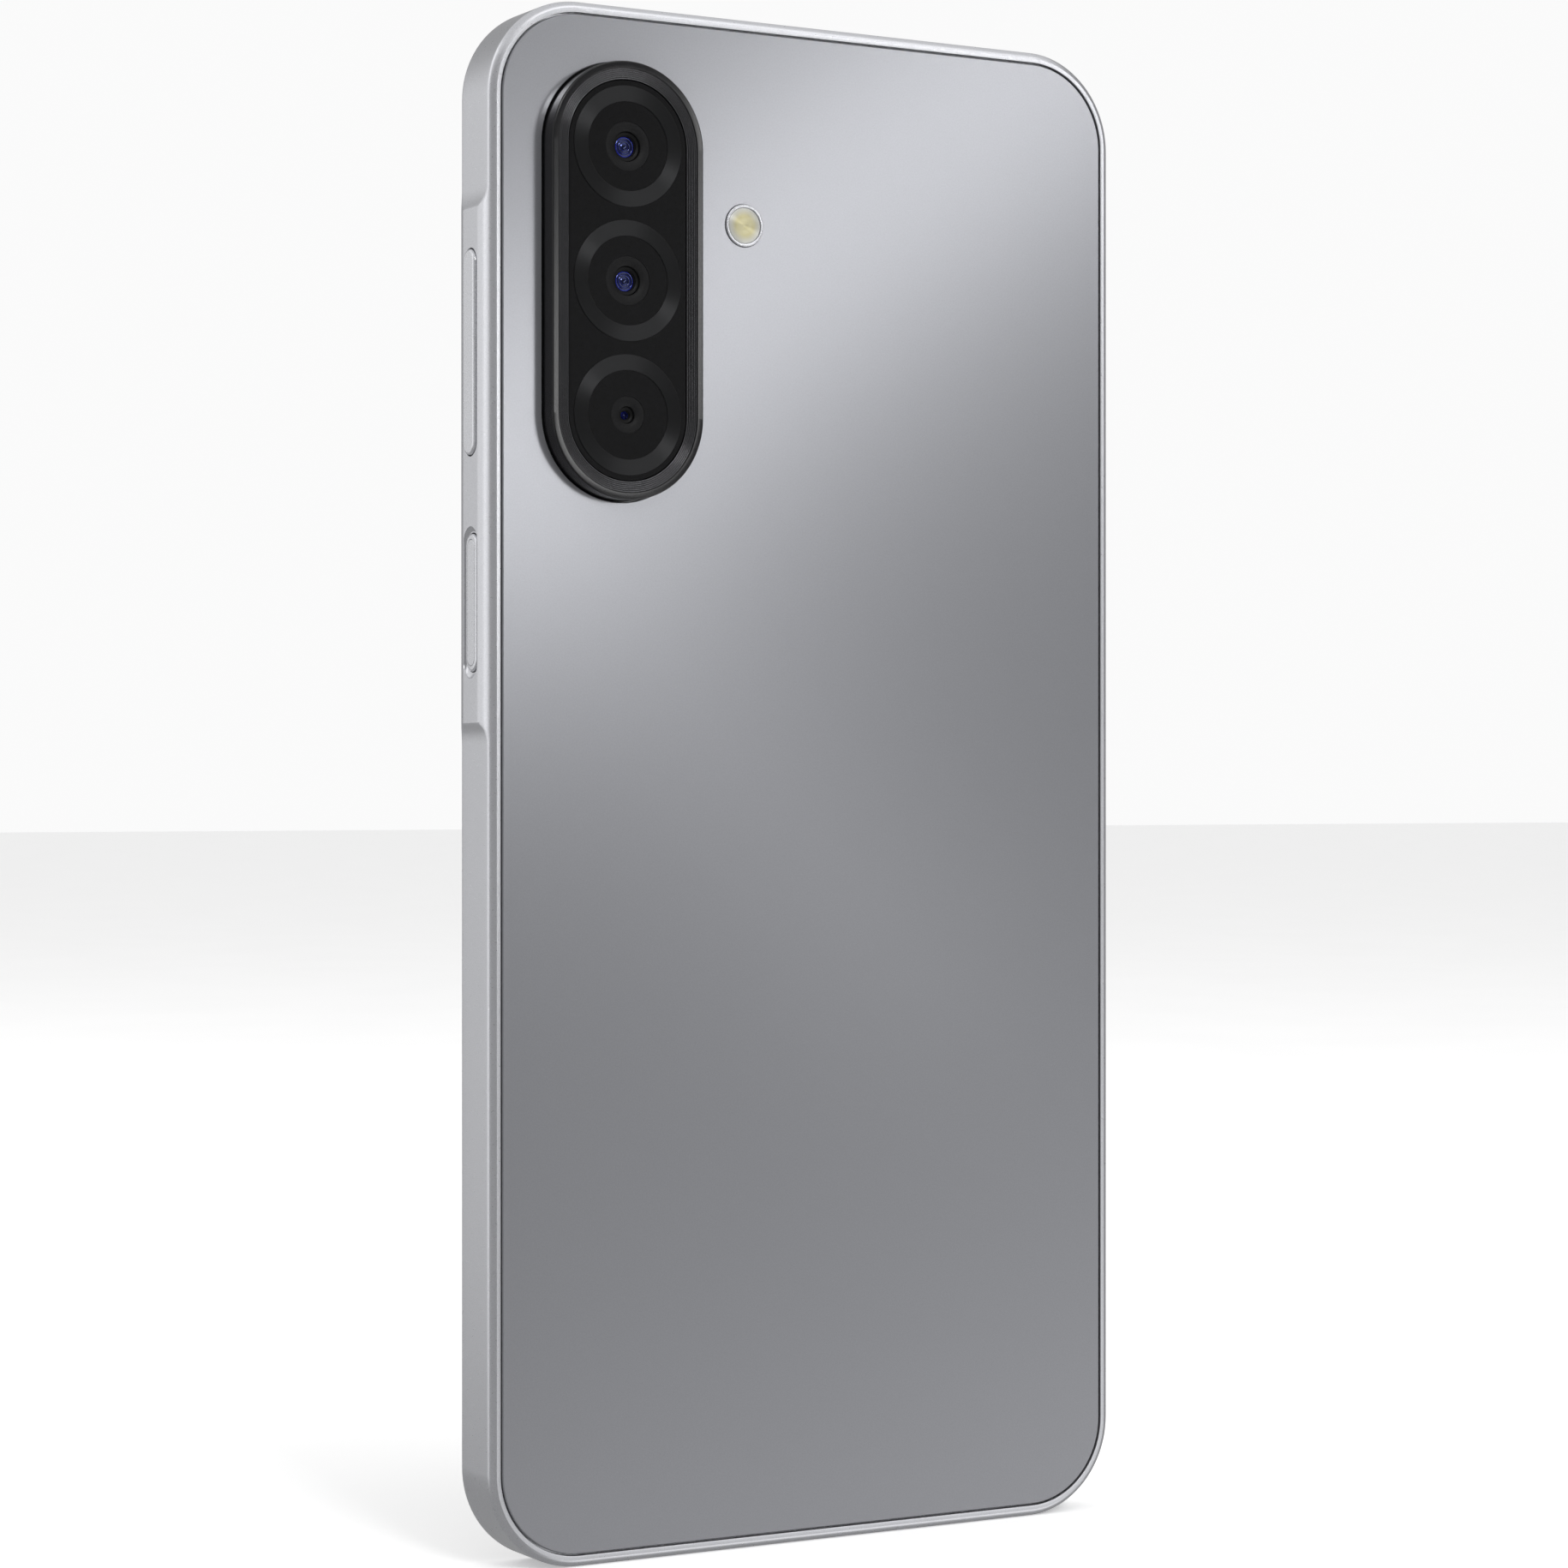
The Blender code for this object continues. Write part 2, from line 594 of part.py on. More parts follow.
def build_sim_tray():
    place = (HALF_WIDTH, MID_DEPTH, TRAY_V)
    neck = 0.75
    loops = [
        along_width(stadium(TRAY_HEAD_HEIGHT - 0.2, TRAY_LENGTH - 0.2), 0.0),
        along_width(stadium(TRAY_HEAD_HEIGHT, TRAY_LENGTH), -0.1),
        along_width(stadium(TRAY_HEAD_HEIGHT, TRAY_LENGTH), -0.8),
        along_width(stadium(TRAY_HEAD_HEIGHT - neck, TRAY_LENGTH - neck), -0.8),
        along_width(stadium(TRAY_HEAD_HEIGHT - neck, TRAY_LENGTH - neck), -1.7),
    ]
    tray = make("sim_tray", skin(loops), "frame_paint", place)
    carrier = prism(rounded_rect(TRAY_REACH - 1.2, 23.2, 1.0, 3), -TRAY_THICKNESS / 2, TRAY_THICKNESS / 2)
    add(tray, "carrier", carrier, (HALF_WIDTH - (TRAY_REACH + 1.2) / 2, MID_DEPTH, TRAY_V))
    for name, x, v, width, height in (
        ("sim_pocket", 28.8, 6.0, 12.4, 8.9),
        ("card_pocket", 28.9, -5.1, 14.6, 11.0),
    ):
        pocket = prism(rounded_rect(width, height, 0.8, 2), -1, 0.15)
        cut(tray, name, pocket, (x, MID_DEPTH, TRAY_V + v))
        window = prism(rounded_rect(width - 1.6, height - 1.6, 0.5, 2), -1, 1)
        cut(tray, name + "_window", window, (x, MID_DEPTH, TRAY_V + v))
    pin = prism(circle(EJECT_HOLE, 12), HALF_WIDTH - 1.5, HALF_WIDTH + 1, along_width)
    cut(tray, "eject_hole", pin, (0, MID_DEPTH, TRAY_V - TRAY_LENGTH / 2 + 2.0))

    seal = [
        (TRAY_HEAD_HEIGHT - 0.1, -1.5),
        (TRAY_HEAD_HEIGHT - 0.1, -0.95),
        (TRAY_HEAD_HEIGHT - neck + 0.1, -0.95),
        (TRAY_HEAD_HEIGHT - neck + 0.1, -1.5),
    ]
    longer = TRAY_LENGTH - TRAY_HEAD_HEIGHT
    loops = [along_width(stadium(height, height + longer), x) for height, x in seal]
    make("sim_tray_seal", skin(loops, ring=True), "rubber_grey", place)

    half, wall = 12.6, 0.25
    channel = [(4.38, -half), (4.38, -half + wall), (3.05, -half + wall), (3.05, half - wall)]
    channel += [(4.38, half - wall), (4.38, half), (2.8, half), (2.8, -half)]
    make("sim_reader", prism(channel, 20.4, 36.4, along_width), "steel", (0, 0, TRAY_V))


# ---------------------------------------------------------------- inside


def screw_holes(part, places, low, high):
    for index, (x, v) in enumerate(places):
        cut(part, f"screw_hole_{index}", prism(circle(SCREW_HOLE, 12), low, high), (x, 0, v))


def build_boards():
    outline = [(-13.4, 31.2), (35.4, 31.2), (35.4, 68.0), (29.0, 77.6), (20.4, 77.6), (20.4, 70.4)]
    outline += [(-4.6, 70.4), (-4.6, 77.6), (-13.4, 77.6)]
    board = make("main_board", prism(outline, *BOARD_DEPTH), "board_green")
    screw_holes(board, SCREW_PLACES[:4], 4, 6)
    for name, x, v, width, height in (
        ("processor_shield", -1.0, 45.0, 15.0, 17.0),
        ("radio_shield", 4.6, 62.2, 13.0, 11.6),
    ):
        outer = rounded_rect(width, height, 0.8, 3)
        inner = rounded_rect(width - 0.5, height - 0.5, 0.55, 3)
        make(name, cup(outer, inner, 2.75, BOARD_DEPTH[0] - 0.05, 0.25), "steel", (x, 0, v))

    lower = [(-8.0, -79.4), (-5.0, -79.4), (-5.0, -74.0), (5.0, -74.0), (5.0, -79.4), (27.0, -79.4)]
    lower += [(34.6, -72.0), (34.6, -61.0), (-8.0, -61.0)]
    make("sub_board", prism(lower, *BOARD_DEPTH), "board_green")
    microphone = prism(rounded_rect(3.6, 2.6, 0.2, 2), 3.3, BOARD_DEPTH[0] - 0.05)
    make("bottom_microphone", microphone, "steel", (MICROPHONE_X, 0, -77.6))
    strip = prism(rounded_rect(9.0, 95.0, 1.5, 3), 1.04, 1.16)
    make("main_flex_cable", strip, "flex_amber", (16.0, 0, -14.5))
    outer, inner = rounded_rect(28, 30, 3, 4), rounded_rect(22, 24, 1.5, 4)
    corners = ((outer, 0.78), (outer, 0.92), (inner, 0.92), (inner, 0.78))
    coil = skin([along_depth(outline, depth) for outline, depth in corners], ring=True)
    make("nfc_antenna", coil, "copper", (14.0, 0, 55.0))


def build_battery():
    cell = prism(rounded_rect(*BATTERY_SIZE, 2.0, 4), *BATTERY_DEPTH)
    soften(make("battery", cell, "battery_wrap", (0, 0, BATTERY_V)), 0.5)


def build_brackets():
    outline = [(-13.4, 32.6), (35.0, 32.6), (35.0, 66.0), (28.0, 76.6), (20.4, 76.6), (20.4, 70.4)]
    outline += [(-4.6, 70.4), (-4.6, 76.6), (-13.4, 76.6)]
    bracket = make("upper_bracket", prism(outline, *BRACKET_DEPTH), "black_matte")
    screw_holes(bracket, SCREW_PLACES[:4], 1, 3)

    outer = [(-34.6, -61.0), (-34.6, -71.0), (-27.0, -79.0), (-8.6, -79.0), (-8.6, -61.0)]
    box = make("speaker_box", prism(outer, 2.0, 5.3), "black_matte")
    screw_holes(box, SCREW_PLACES[4:], 1, 6)
    sound_way = prism(rounded_rect(14.0, 1.8, 0.5, 2), -80, -75.0, along_height)
    cut(box, "sound_way", sound_way, (sum(SPEAKER_SLOTS) / len(SPEAKER_SLOTS), MID_DEPTH, 0))

    for index, (x, v) in enumerate(SCREW_PLACES):
        radius, height = SCREW_HEAD
        top = BRACKET_DEPTH[0] - height - 0.05
        head = [(0, top + 0.15), (0.5, top), (radius - 0.1, top), (radius, top + 0.1), (radius, top + height)]
        shank = [(SCREW_SHANK, top + height), (SCREW_SHANK, 5.2), (0, 5.35)]
        make(f"screw_{index + 1}", turned(head + shank, 12), "steel", (x, 0, v))


def build_port():
    width, height = SHELL_SIZE
    outer = stadium(width, height)
    inner = stadium(width - 2 * SHELL_WALL, height - 2 * SHELL_WALL)
    shell = cup(outer, inner, SHELL_V[1], SHELL_V[0], 0.6, along_height)
    make("usb_port_shell", shell, "steel", (0, MID_DEPTH, 0))
    tongue = prism(rounded_rect(6.7, 0.7, 0.2, 2), SHELL_V[0] + 0.5, SHELL_V[1] - 0.7, along_height)
    make("usb_port_tongue", tongue, "black_matte", (0, MID_DEPTH, 0))


def build_vibration_motor():
    x, v = MOTOR_PLACE
    place = (x, 0, v)
    case = cup(circle(MOTOR_RADIUS), circle(MOTOR_RADIUS - 0.25), 1.95, 4.15, 0.25)
    make("vibration_motor_case", case, "steel", place)
    base = [(0, 4.38), (MOTOR_RADIUS, 4.38), (MOTOR_RADIUS, 4.22), (0.3, 4.22), (0.3, 2.4), (0, 2.4)]
    make("vibration_motor_base", turned(base), "steel", place)
    reach = MOTOR_RADIUS - 0.55
    half_turn = [math.pi * (1 + i / 12) for i in range(13)]
    weight = [(reach * math.cos(angle), reach * math.sin(angle)) for angle in half_turn]
    weight += [(1.0, 0.1), (0.7, 0.8), (0.0, 1.1), (-0.7, 0.8), (-1.0, 0.1)]
    rotor = make("vibration_motor_rotor", prism(weight, 2.6, 3.9), "alloy", place)
    cut(rotor, "shaft_hole", prism(circle(0.45, 16), 2, 5), place)


def build_small_modules():
    place = (0, 0, FRONT_CAMERA_V)
    housing = make("front_camera_housing", prism(rounded_rect(6.4, 6.4, 0.5, 3), 2.2, 5.3), "steel", place)
    soften(housing, 0.15, 1)
    eye = [(0, 5.4), (2.5, 5.4), (2.5, 5.9), (1.7, 6.0), (0.9, 5.95), (0.75, 5.75), (0, 5.65)]
    make("front_camera_barrel", turned(eye), "black_matte", place)
    receiver = prism(rounded_rect(12.0, 6.6, 1.0, 3), 2.6, 5.3)
    soften(make("earpiece_receiver", receiver, "steel", (11.6, 0, 75.0)), 0.2, 1)


def build():
    clear_scene()
    phone = bpy.data.objects.new("phone", None)
    bpy.context.scene.collection.objects.link(phone)
    phone.location = (0, REAR_PLANE * MM, HALF_HEIGHT * MM)
    build_side_frame()
    build_covers()
    build_adhesives()
    build_camera_island()
    build_cameras()
    build_flash()
    build_keys()
    build_sim_tray()
    build_boards()
    build_battery()
    build_brackets()
    build_port()
    build_vibration_motor()
    build_small_modules()


build()
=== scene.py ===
"""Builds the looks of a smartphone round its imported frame.

It is laid out as an add-on: the main sizes and colours are properties with defaults, each piece or group
of like pieces has an operator, and a panel in the sidebar lists them. Run as a script, it registers itself
and calls its operators in order.

Sizes are in millimetres. A place is (x, depth, v): x across the phone, depth from the plane of the rear
cover towards the display, and v up from the middle of the height. Each shape is turned into metres in the
frame's own axes when it becomes an object.
"""

import math

import bmesh
import bpy
from mathutils import Matrix, Vector


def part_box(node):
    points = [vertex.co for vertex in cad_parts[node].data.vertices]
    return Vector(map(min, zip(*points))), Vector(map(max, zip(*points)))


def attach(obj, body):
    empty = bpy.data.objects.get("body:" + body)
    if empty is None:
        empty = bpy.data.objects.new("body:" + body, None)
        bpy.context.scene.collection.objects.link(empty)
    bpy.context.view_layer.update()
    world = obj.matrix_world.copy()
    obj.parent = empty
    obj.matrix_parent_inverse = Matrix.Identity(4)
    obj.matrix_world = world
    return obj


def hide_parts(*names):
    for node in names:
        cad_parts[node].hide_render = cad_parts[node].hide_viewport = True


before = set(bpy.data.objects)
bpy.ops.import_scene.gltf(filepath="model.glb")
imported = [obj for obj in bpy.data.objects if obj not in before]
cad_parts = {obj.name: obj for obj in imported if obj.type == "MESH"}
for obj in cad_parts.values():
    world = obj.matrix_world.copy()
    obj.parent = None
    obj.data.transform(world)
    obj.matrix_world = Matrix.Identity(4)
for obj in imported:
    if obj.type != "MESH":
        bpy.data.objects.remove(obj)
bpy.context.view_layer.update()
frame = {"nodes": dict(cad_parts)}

bl_info = {
    "name": "Smartphone",
    "version": (1, 0, 0),
    "blender": (4, 5, 0),
    "location": "3D View > Sidebar > Smartphone",
    "description": "Builds the visible pieces and finishes of a smartphone round its packed frame",
    "category": "Object",
}

MM = 0.001

FRAME_LOW, FRAME_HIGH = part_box("side_frame")
COVER_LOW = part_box("rear_cover")[0]
REAR_PLANE = COVER_LOW[1] / MM
CENTRE_V = (FRAME_LOW[2] + FRAME_HIGH[2]) / 2 / MM
BODY_HEIGHT = (FRAME_HIGH[2] - FRAME_LOW[2]) / MM
BODY_WIDTH = 2 * FRAME_HIGH[0] / MM
BODY_DEPTH = (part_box("display_glass")[1][1] - COVER_LOW[1]) / MM
ISLAND_HEIGHT = (COVER_LOW[1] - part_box("camera_bezel")[0][1]) / MM
KEY_ISLAND_TOP = FRAME_LOW[0] / MM
KEY_ISLAND_HEIGHT = -KEY_ISLAND_TOP - BODY_WIDTH / 2
MID_DEPTH = BODY_DEPTH / 2


def middle(node):
    """The middle of a node's box, as (x, depth, v) in millimetres."""
    low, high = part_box(node)
    x, y, z = ((low[i] + high[i]) / 2 / MM for i in range(3))
    return x, y - REAR_PLANE, z - CENTRE_V


def extent(node):
    """The size of a node's box along x, depth and v, in millimetres."""
    low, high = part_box(node)
    return [(high[i] - low[i]) / MM for i in range(3)]


# ---------------------------------------------------------------- what a user may change


def amount(name, description, default, soft_max=10.0):
    return bpy.props.FloatProperty(
        name=name, description=description, default=default, min=0.0, soft_max=soft_max
    )


def length(name, description, default):
    return amount(name, description, default, 200.0)


def count(name, description, default):
    return bpy.props.IntProperty(name=name, description=description, default=default, min=1, soft_max=64)


def colour(name, description, default):
    return bpy.props.FloatVectorProperty(
        name=name, description=description, default=default, subtype="COLOR", min=0.0, max=1.0
    )


class BodySizes(bpy.types.PropertyGroup):
    """Sizes of the frame and the two covers, in millimetres."""

    corner_radius: length("Corner radius", "Radius of the phone's outline at its corners", 10.4)
    rim_inset: length("Rim inset", "Inner edge of the flat rear rim, in from the side", 1.21)
    seam: length("Seam", "Gap between the frame and the rear cover", 0.19)
    edge_radius: length("Edge radius", "Radius of the round edge between the side and each face", 2.51)
    rear_edge_centre: length("Rear edge centre", "Depth at which the rear round edge ends", 2.15)
    front_edge_centre: length("Front edge centre", "Depth at which the front round edge starts", 5.4)
    crease: length("Crease softness", "Softness of the crease between flat side and round edge", 0.05)
    ramp: length("Ramp", "Length of the hollow ramp at each end of the key island", 2.2)
    cover_chamfer: length("Cover chamfer", "Width of the chamfer round the rear cover", 0.13)
    glass_chamfer: length("Glass chamfer", "Width of the rounding round the display glass", 0.22)


class IslandSizes(bpy.types.PropertyGroup):
    """Sizes of the camera island, in millimetres."""

    radius: length("Island radius", "Radius of the island's round ends", 8.95)
    lip_radius: length("Lip radius", "Inner radius of the flat lip round the ridges", 8.22)
    window_radius: length("Window radius", "Radius of the window's round ends", 6.95)
    ridges: count("Ridges", "Fine ridges between the lip and the window", 6)
    ring_inner: length("Ring inner radius", "Inner radius of a lens ring", 4.71)
    ring_outer: length("Ring outer radius", "Outer radius of a lens ring", 6.36)
    flash_radius: length("Flash radius", "Outer radius of the flash's ring", 2.27)


class Colours(bpy.types.PropertyGroup):
    """Colours and strengths of the finishes."""

    frame: colour("Frame", "Metallic paint of the frame and keys", (0.52, 0.525, 0.55))
    cover: colour("Cover", "Satin film of the rear cover", (0.236, 0.239, 0.256))
    island: colour("Camera island", "Black of the island's ring", (0.004, 0.004, 0.0045))
    ridge: colour("Ridges", "Blackened metal of the island's ridges", (0.055, 0.055, 0.058))
    window: colour("Camera window", "Black of the island's window", (0.0025, 0.0025, 0.0027))
    ring: colour("Lens rings", "Spun metal of the lens rings", (0.028, 0.0283, 0.0292))
    # In the rear lenses this blue is painted in as rims of reflection at the coatings' edges.
    lens: colour("Lens coating", "Blue of the coated lenses", (0.010, 0.020, 0.42))
    flash: colour("Flash", "Cream of the flash's lens", (0.50, 0.46, 0.26))
    display: colour("Display", "Black of the unlit display", (0.004, 0.004, 0.005))


class Studio(bpy.types.PropertyGroup):
    """The camera, the lights and the floor."""

    lens: amount("Lens", "Focal length in millimetres on a 36 mm sensor", 89.24)
    turn: amount("Turn", "Degrees between the view and the phone's rear, seen from above", 30.0)
    camera_x: bpy.props.FloatProperty(
        name="Camera x", description="Camera's x in millimetres", default=-213.91
    )
    camera_depth: bpy.props.FloatProperty(
        name="Camera depth", description="Camera's depth in millimetres", default=-363.98
    )
    key_light: amount("Key light", "Strength of the tall light at the left", 1.0)
    fill_light: amount("Fill light", "Strength of the light that faces the rear cover", 1.0)
    band_light: amount("Band light", "Strength of the long light that the rear cover mirrors", 1.0)
    sky: amount("Sky", "Strength of the pale surroundings", 1.0)


def settings(name):
    return getattr(bpy.context.scene, "phone_" + name)


# ---------------------------------------------------------------- shapes


def rounded_rect(width, height, radius, steps=16):
    """A rectangle about the origin with a round arc at each corner, counter-clockwise, as (x, v)."""
    points = []
    for quarter in range(4):
        side_x = 1 if quarter in (0, 3) else -1
        side_v = 1 if quarter in (0, 1) else -1
        for step in range(steps + 1):
            angle = (quarter + step / steps) * math.pi / 2
            x = side_x * (width / 2 - radius) + radius * math.cos(angle)
            v = side_v * (height / 2 - radius) + radius * math.sin(angle)
            if not points or math.dist((x, v), points[-1]) > 1e-5:
                points.append((x, v))
    return points if math.dist(points[0], points[-1]) > 1e-5 else points[:-1]


def stadium(width, tall, steps=16):
    """A slot with round ends, its long side along the second axis."""
    return rounded_rect(width, tall, min(width, tall) / 2, steps)


def circle(radius, steps=64):
    turn = 2 * math.pi / steps
    return [(radius * math.cos(turn * i), radius * math.sin(turn * i)) for i in range(steps)]


def along_depth(outline, depth, centre=(0.0, 0.0)):
    """The outline (x, v) at that depth."""
    return [Vector((centre[0] + x, depth, centre[1] + v)) for x, v in outline]


def along_width(outline, x, centre=(0.0, 0.0)):
    """The outline (depth, v) at that x."""
    return [Vector((x, centre[0] + depth, centre[1] + v)) for depth, v in outline]


def along_height(outline, v, centre=(0.0, 0.0)):
    """The outline (x, depth) at that v."""
    return [Vector((centre[0] + x, centre[1] + depth, v)) for x, depth in outline]


def skin(loops, ring=False, into=None):
    """A closed shell through loops of equal length: capped at both ends, or joined into a ring."""
    made = into or bmesh.new()
    rows = [[made.verts.new(point) for point in loop] for loop in loops]
    pairs = list(zip(rows, rows[1:] + rows[:1])) if ring else list(zip(rows, rows[1:]))
    for first, second in pairs:
        for i in range(len(first)):
            j = (i + 1) % len(first)
            made.faces.new((first[i], first[j], second[j], second[i]))
    if not ring:
        made.faces.new(reversed(rows[0]))
        made.faces.new(rows[-1])
    return made


def turned(profile, centre, steps=64, into=None):
    """A solid turned about the depth axis at centre (x, v). The profile is (radius, depth)."""
    made = into or bmesh.new()
    rows = []
    for radius, depth in profile:
        outline = circle(radius, steps) if radius else [(0.0, 0.0)]
        rows.append([made.verts.new(point) for point in along_depth(outline, depth, centre)])
    for first, second in zip(rows, rows[1:]):
        for i in range(steps):
            j = (i + 1) % steps
            corners = [first[i % len(first)], first[j % len(first)]]
            corners += [second[j % len(second)], second[i % len(second)]]
            made.faces.new(list(dict.fromkeys(corners)))
    return made


def turned_ring(profile, centre, steps=96):
    """A ring turned about the depth axis through a closed profile of (radius, depth)."""
    return skin([along_depth(circle(radius, steps), depth, centre) for radius, depth in profile], ring=True)


def rounded_corner(corner, radius, start, end, steps=5):
    """Points of a round edge at a corner (a, b), between the angles start and end in degrees."""
    centre_a, centre_b = corner
    points = []
    for step in range(steps + 1):
        angle = math.radians(start + (end - start) * step / steps)
        points.append((centre_a + radius * math.cos(angle), centre_b + radius * math.sin(angle)))
    return points


def quarter_round(radius, steps):
    """Places round a bevel as (rise, out): from the flat top, out = radius, to the side, rise = radius."""
    for step in range(steps + 1):
        angle = step / steps * math.pi / 2
        yield radius * (1 - math.cos(angle)), radius * (1 - math.sin(angle))


def slot_loft(along, size, stations, centre, steps=16, into=None):
    """A solid through slots with round ends: size (wide, tall), grown all round at each (place, growth)."""
    wide, tall = size
    loops = [along(stadium(wide + 2 * g, tall + 2 * g, steps), place, centre) for place, g in stations]
    return skin(loops, into=into)


def to_frame(mesh_edit):
    """Millimetres about the rear plane's middle become metres in the frame's axes."""
    bmesh.ops.translate(mesh_edit, verts=mesh_edit.verts, vec=(0, REAR_PLANE, CENTRE_V))
    bmesh.ops.scale(mesh_edit, verts=mesh_edit.verts, vec=(MM, MM, MM))


def add_object(name, data):
    made = bpy.data.objects.new(name, data)
    bpy.context.scene.collection.objects.link(made)
    return made


def new_object(name, mesh_edit):
    """An object with that shape, its faces pointing outwards."""
    bmesh.ops.remove_doubles(mesh_edit, verts=mesh_edit.verts, dist=1e-6)
    bmesh.ops.recalc_face_normals(mesh_edit, faces=mesh_edit.faces)
    to_frame(mesh_edit)
    mesh = bpy.data.meshes.new(name)
    mesh_edit.to_mesh(mesh)
    mesh_edit.free()
    return add_object(name, mesh)


def bake_modifiers(piece):
    """Turns what the piece's modifiers make into its plain mesh."""
    evaluated = piece.evaluated_get(bpy.context.evaluated_depsgraph_get())
    mesh = bpy.data.meshes.new_from_object(evaluated)
    mesh.name = piece.name
    old = piece.data
    piece.modifiers.clear()
    piece.data = mesh
    bpy.data.meshes.remove(old)
    return piece


def carve(piece, cutters, operation="DIFFERENCE"):
    """Cuts every shell of the bmesh out of the piece, or joins them to it."""
    tool = new_object(piece.name + "_tool", cutters)
    boolean = piece.modifiers.new("carve", "BOOLEAN")
    boolean.operation = operation
    boolean.object = tool
    bake_modifiers(piece)
    bpy.data.objects.remove(tool)
    return piece


def smooth(piece, sharp_degrees=30.0):
    """Shades the piece smooth, with flat faces kept flat and edges past the angle kept sharp."""
    piece.data.shade_smooth()
    piece.data.set_sharp_from_angle(angle=math.radians(sharp_degrees))
    weighted = piece.modifiers.new("weighted normals", "WEIGHTED_NORMAL")
    weighted.keep_sharp = True
    weighted.weight = 100
    return bake_modifiers(piece)


def settle(piece, look, body, nodes=(), sharp_degrees=30.0):
    """Gives a finished piece its shading, material and body, and hides the nodes it stands for."""
    smooth(piece, sharp_degrees)
    piece.data.materials.clear()
    piece.data.materials.append(look)
    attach(piece, body)
    if nodes:
        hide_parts(*nodes)
    return piece


# ---------------------------------------------------------------- nodes and finishes


class Nodes:
    """A node tree under construction, with short ways to add and link its nodes."""

    def __init__(self, tree):
        self.tree = tree

    def feed(self, target, value):
        """Links a socket, or sets a plain number, vector or colour."""
        if isinstance(value, bpy.types.NodeSocket):
            self.tree.links.new(value, target)
        elif target.type == "RGBA":
            target.default_value = (*value[:3], 1.0)
        else:
            target.default_value = value

    def node(self, kind, inputs=None, **values):
        """Adds a node, sets its own values and feeds its inputs."""
        made = self.tree.nodes.new(kind)
        for name, value in values.items():
            setattr(made, name, value)
        for name, value in (inputs or {}).items():
            self.feed(made.inputs[name], value)
        return made

    def math(self, operation, *inputs, clamp=False):
        made = self.node("ShaderNodeMath", dict(enumerate(inputs)), operation=operation, use_clamp=clamp)
        return made.outputs[0]

    def ramp(self, value, low, high, to_low=0.0, to_high=1.0, interpolation="SMOOTHSTEP"):
        """Maps a value from low..high to to_low..to_high, and no further."""
        inputs = {"Value": value, "From Min": low, "From Max": high, "To Min": to_low, "To Max": to_high}
        return self.node("ShaderNodeMapRange", inputs, interpolation_type=interpolation).outputs["Result"]


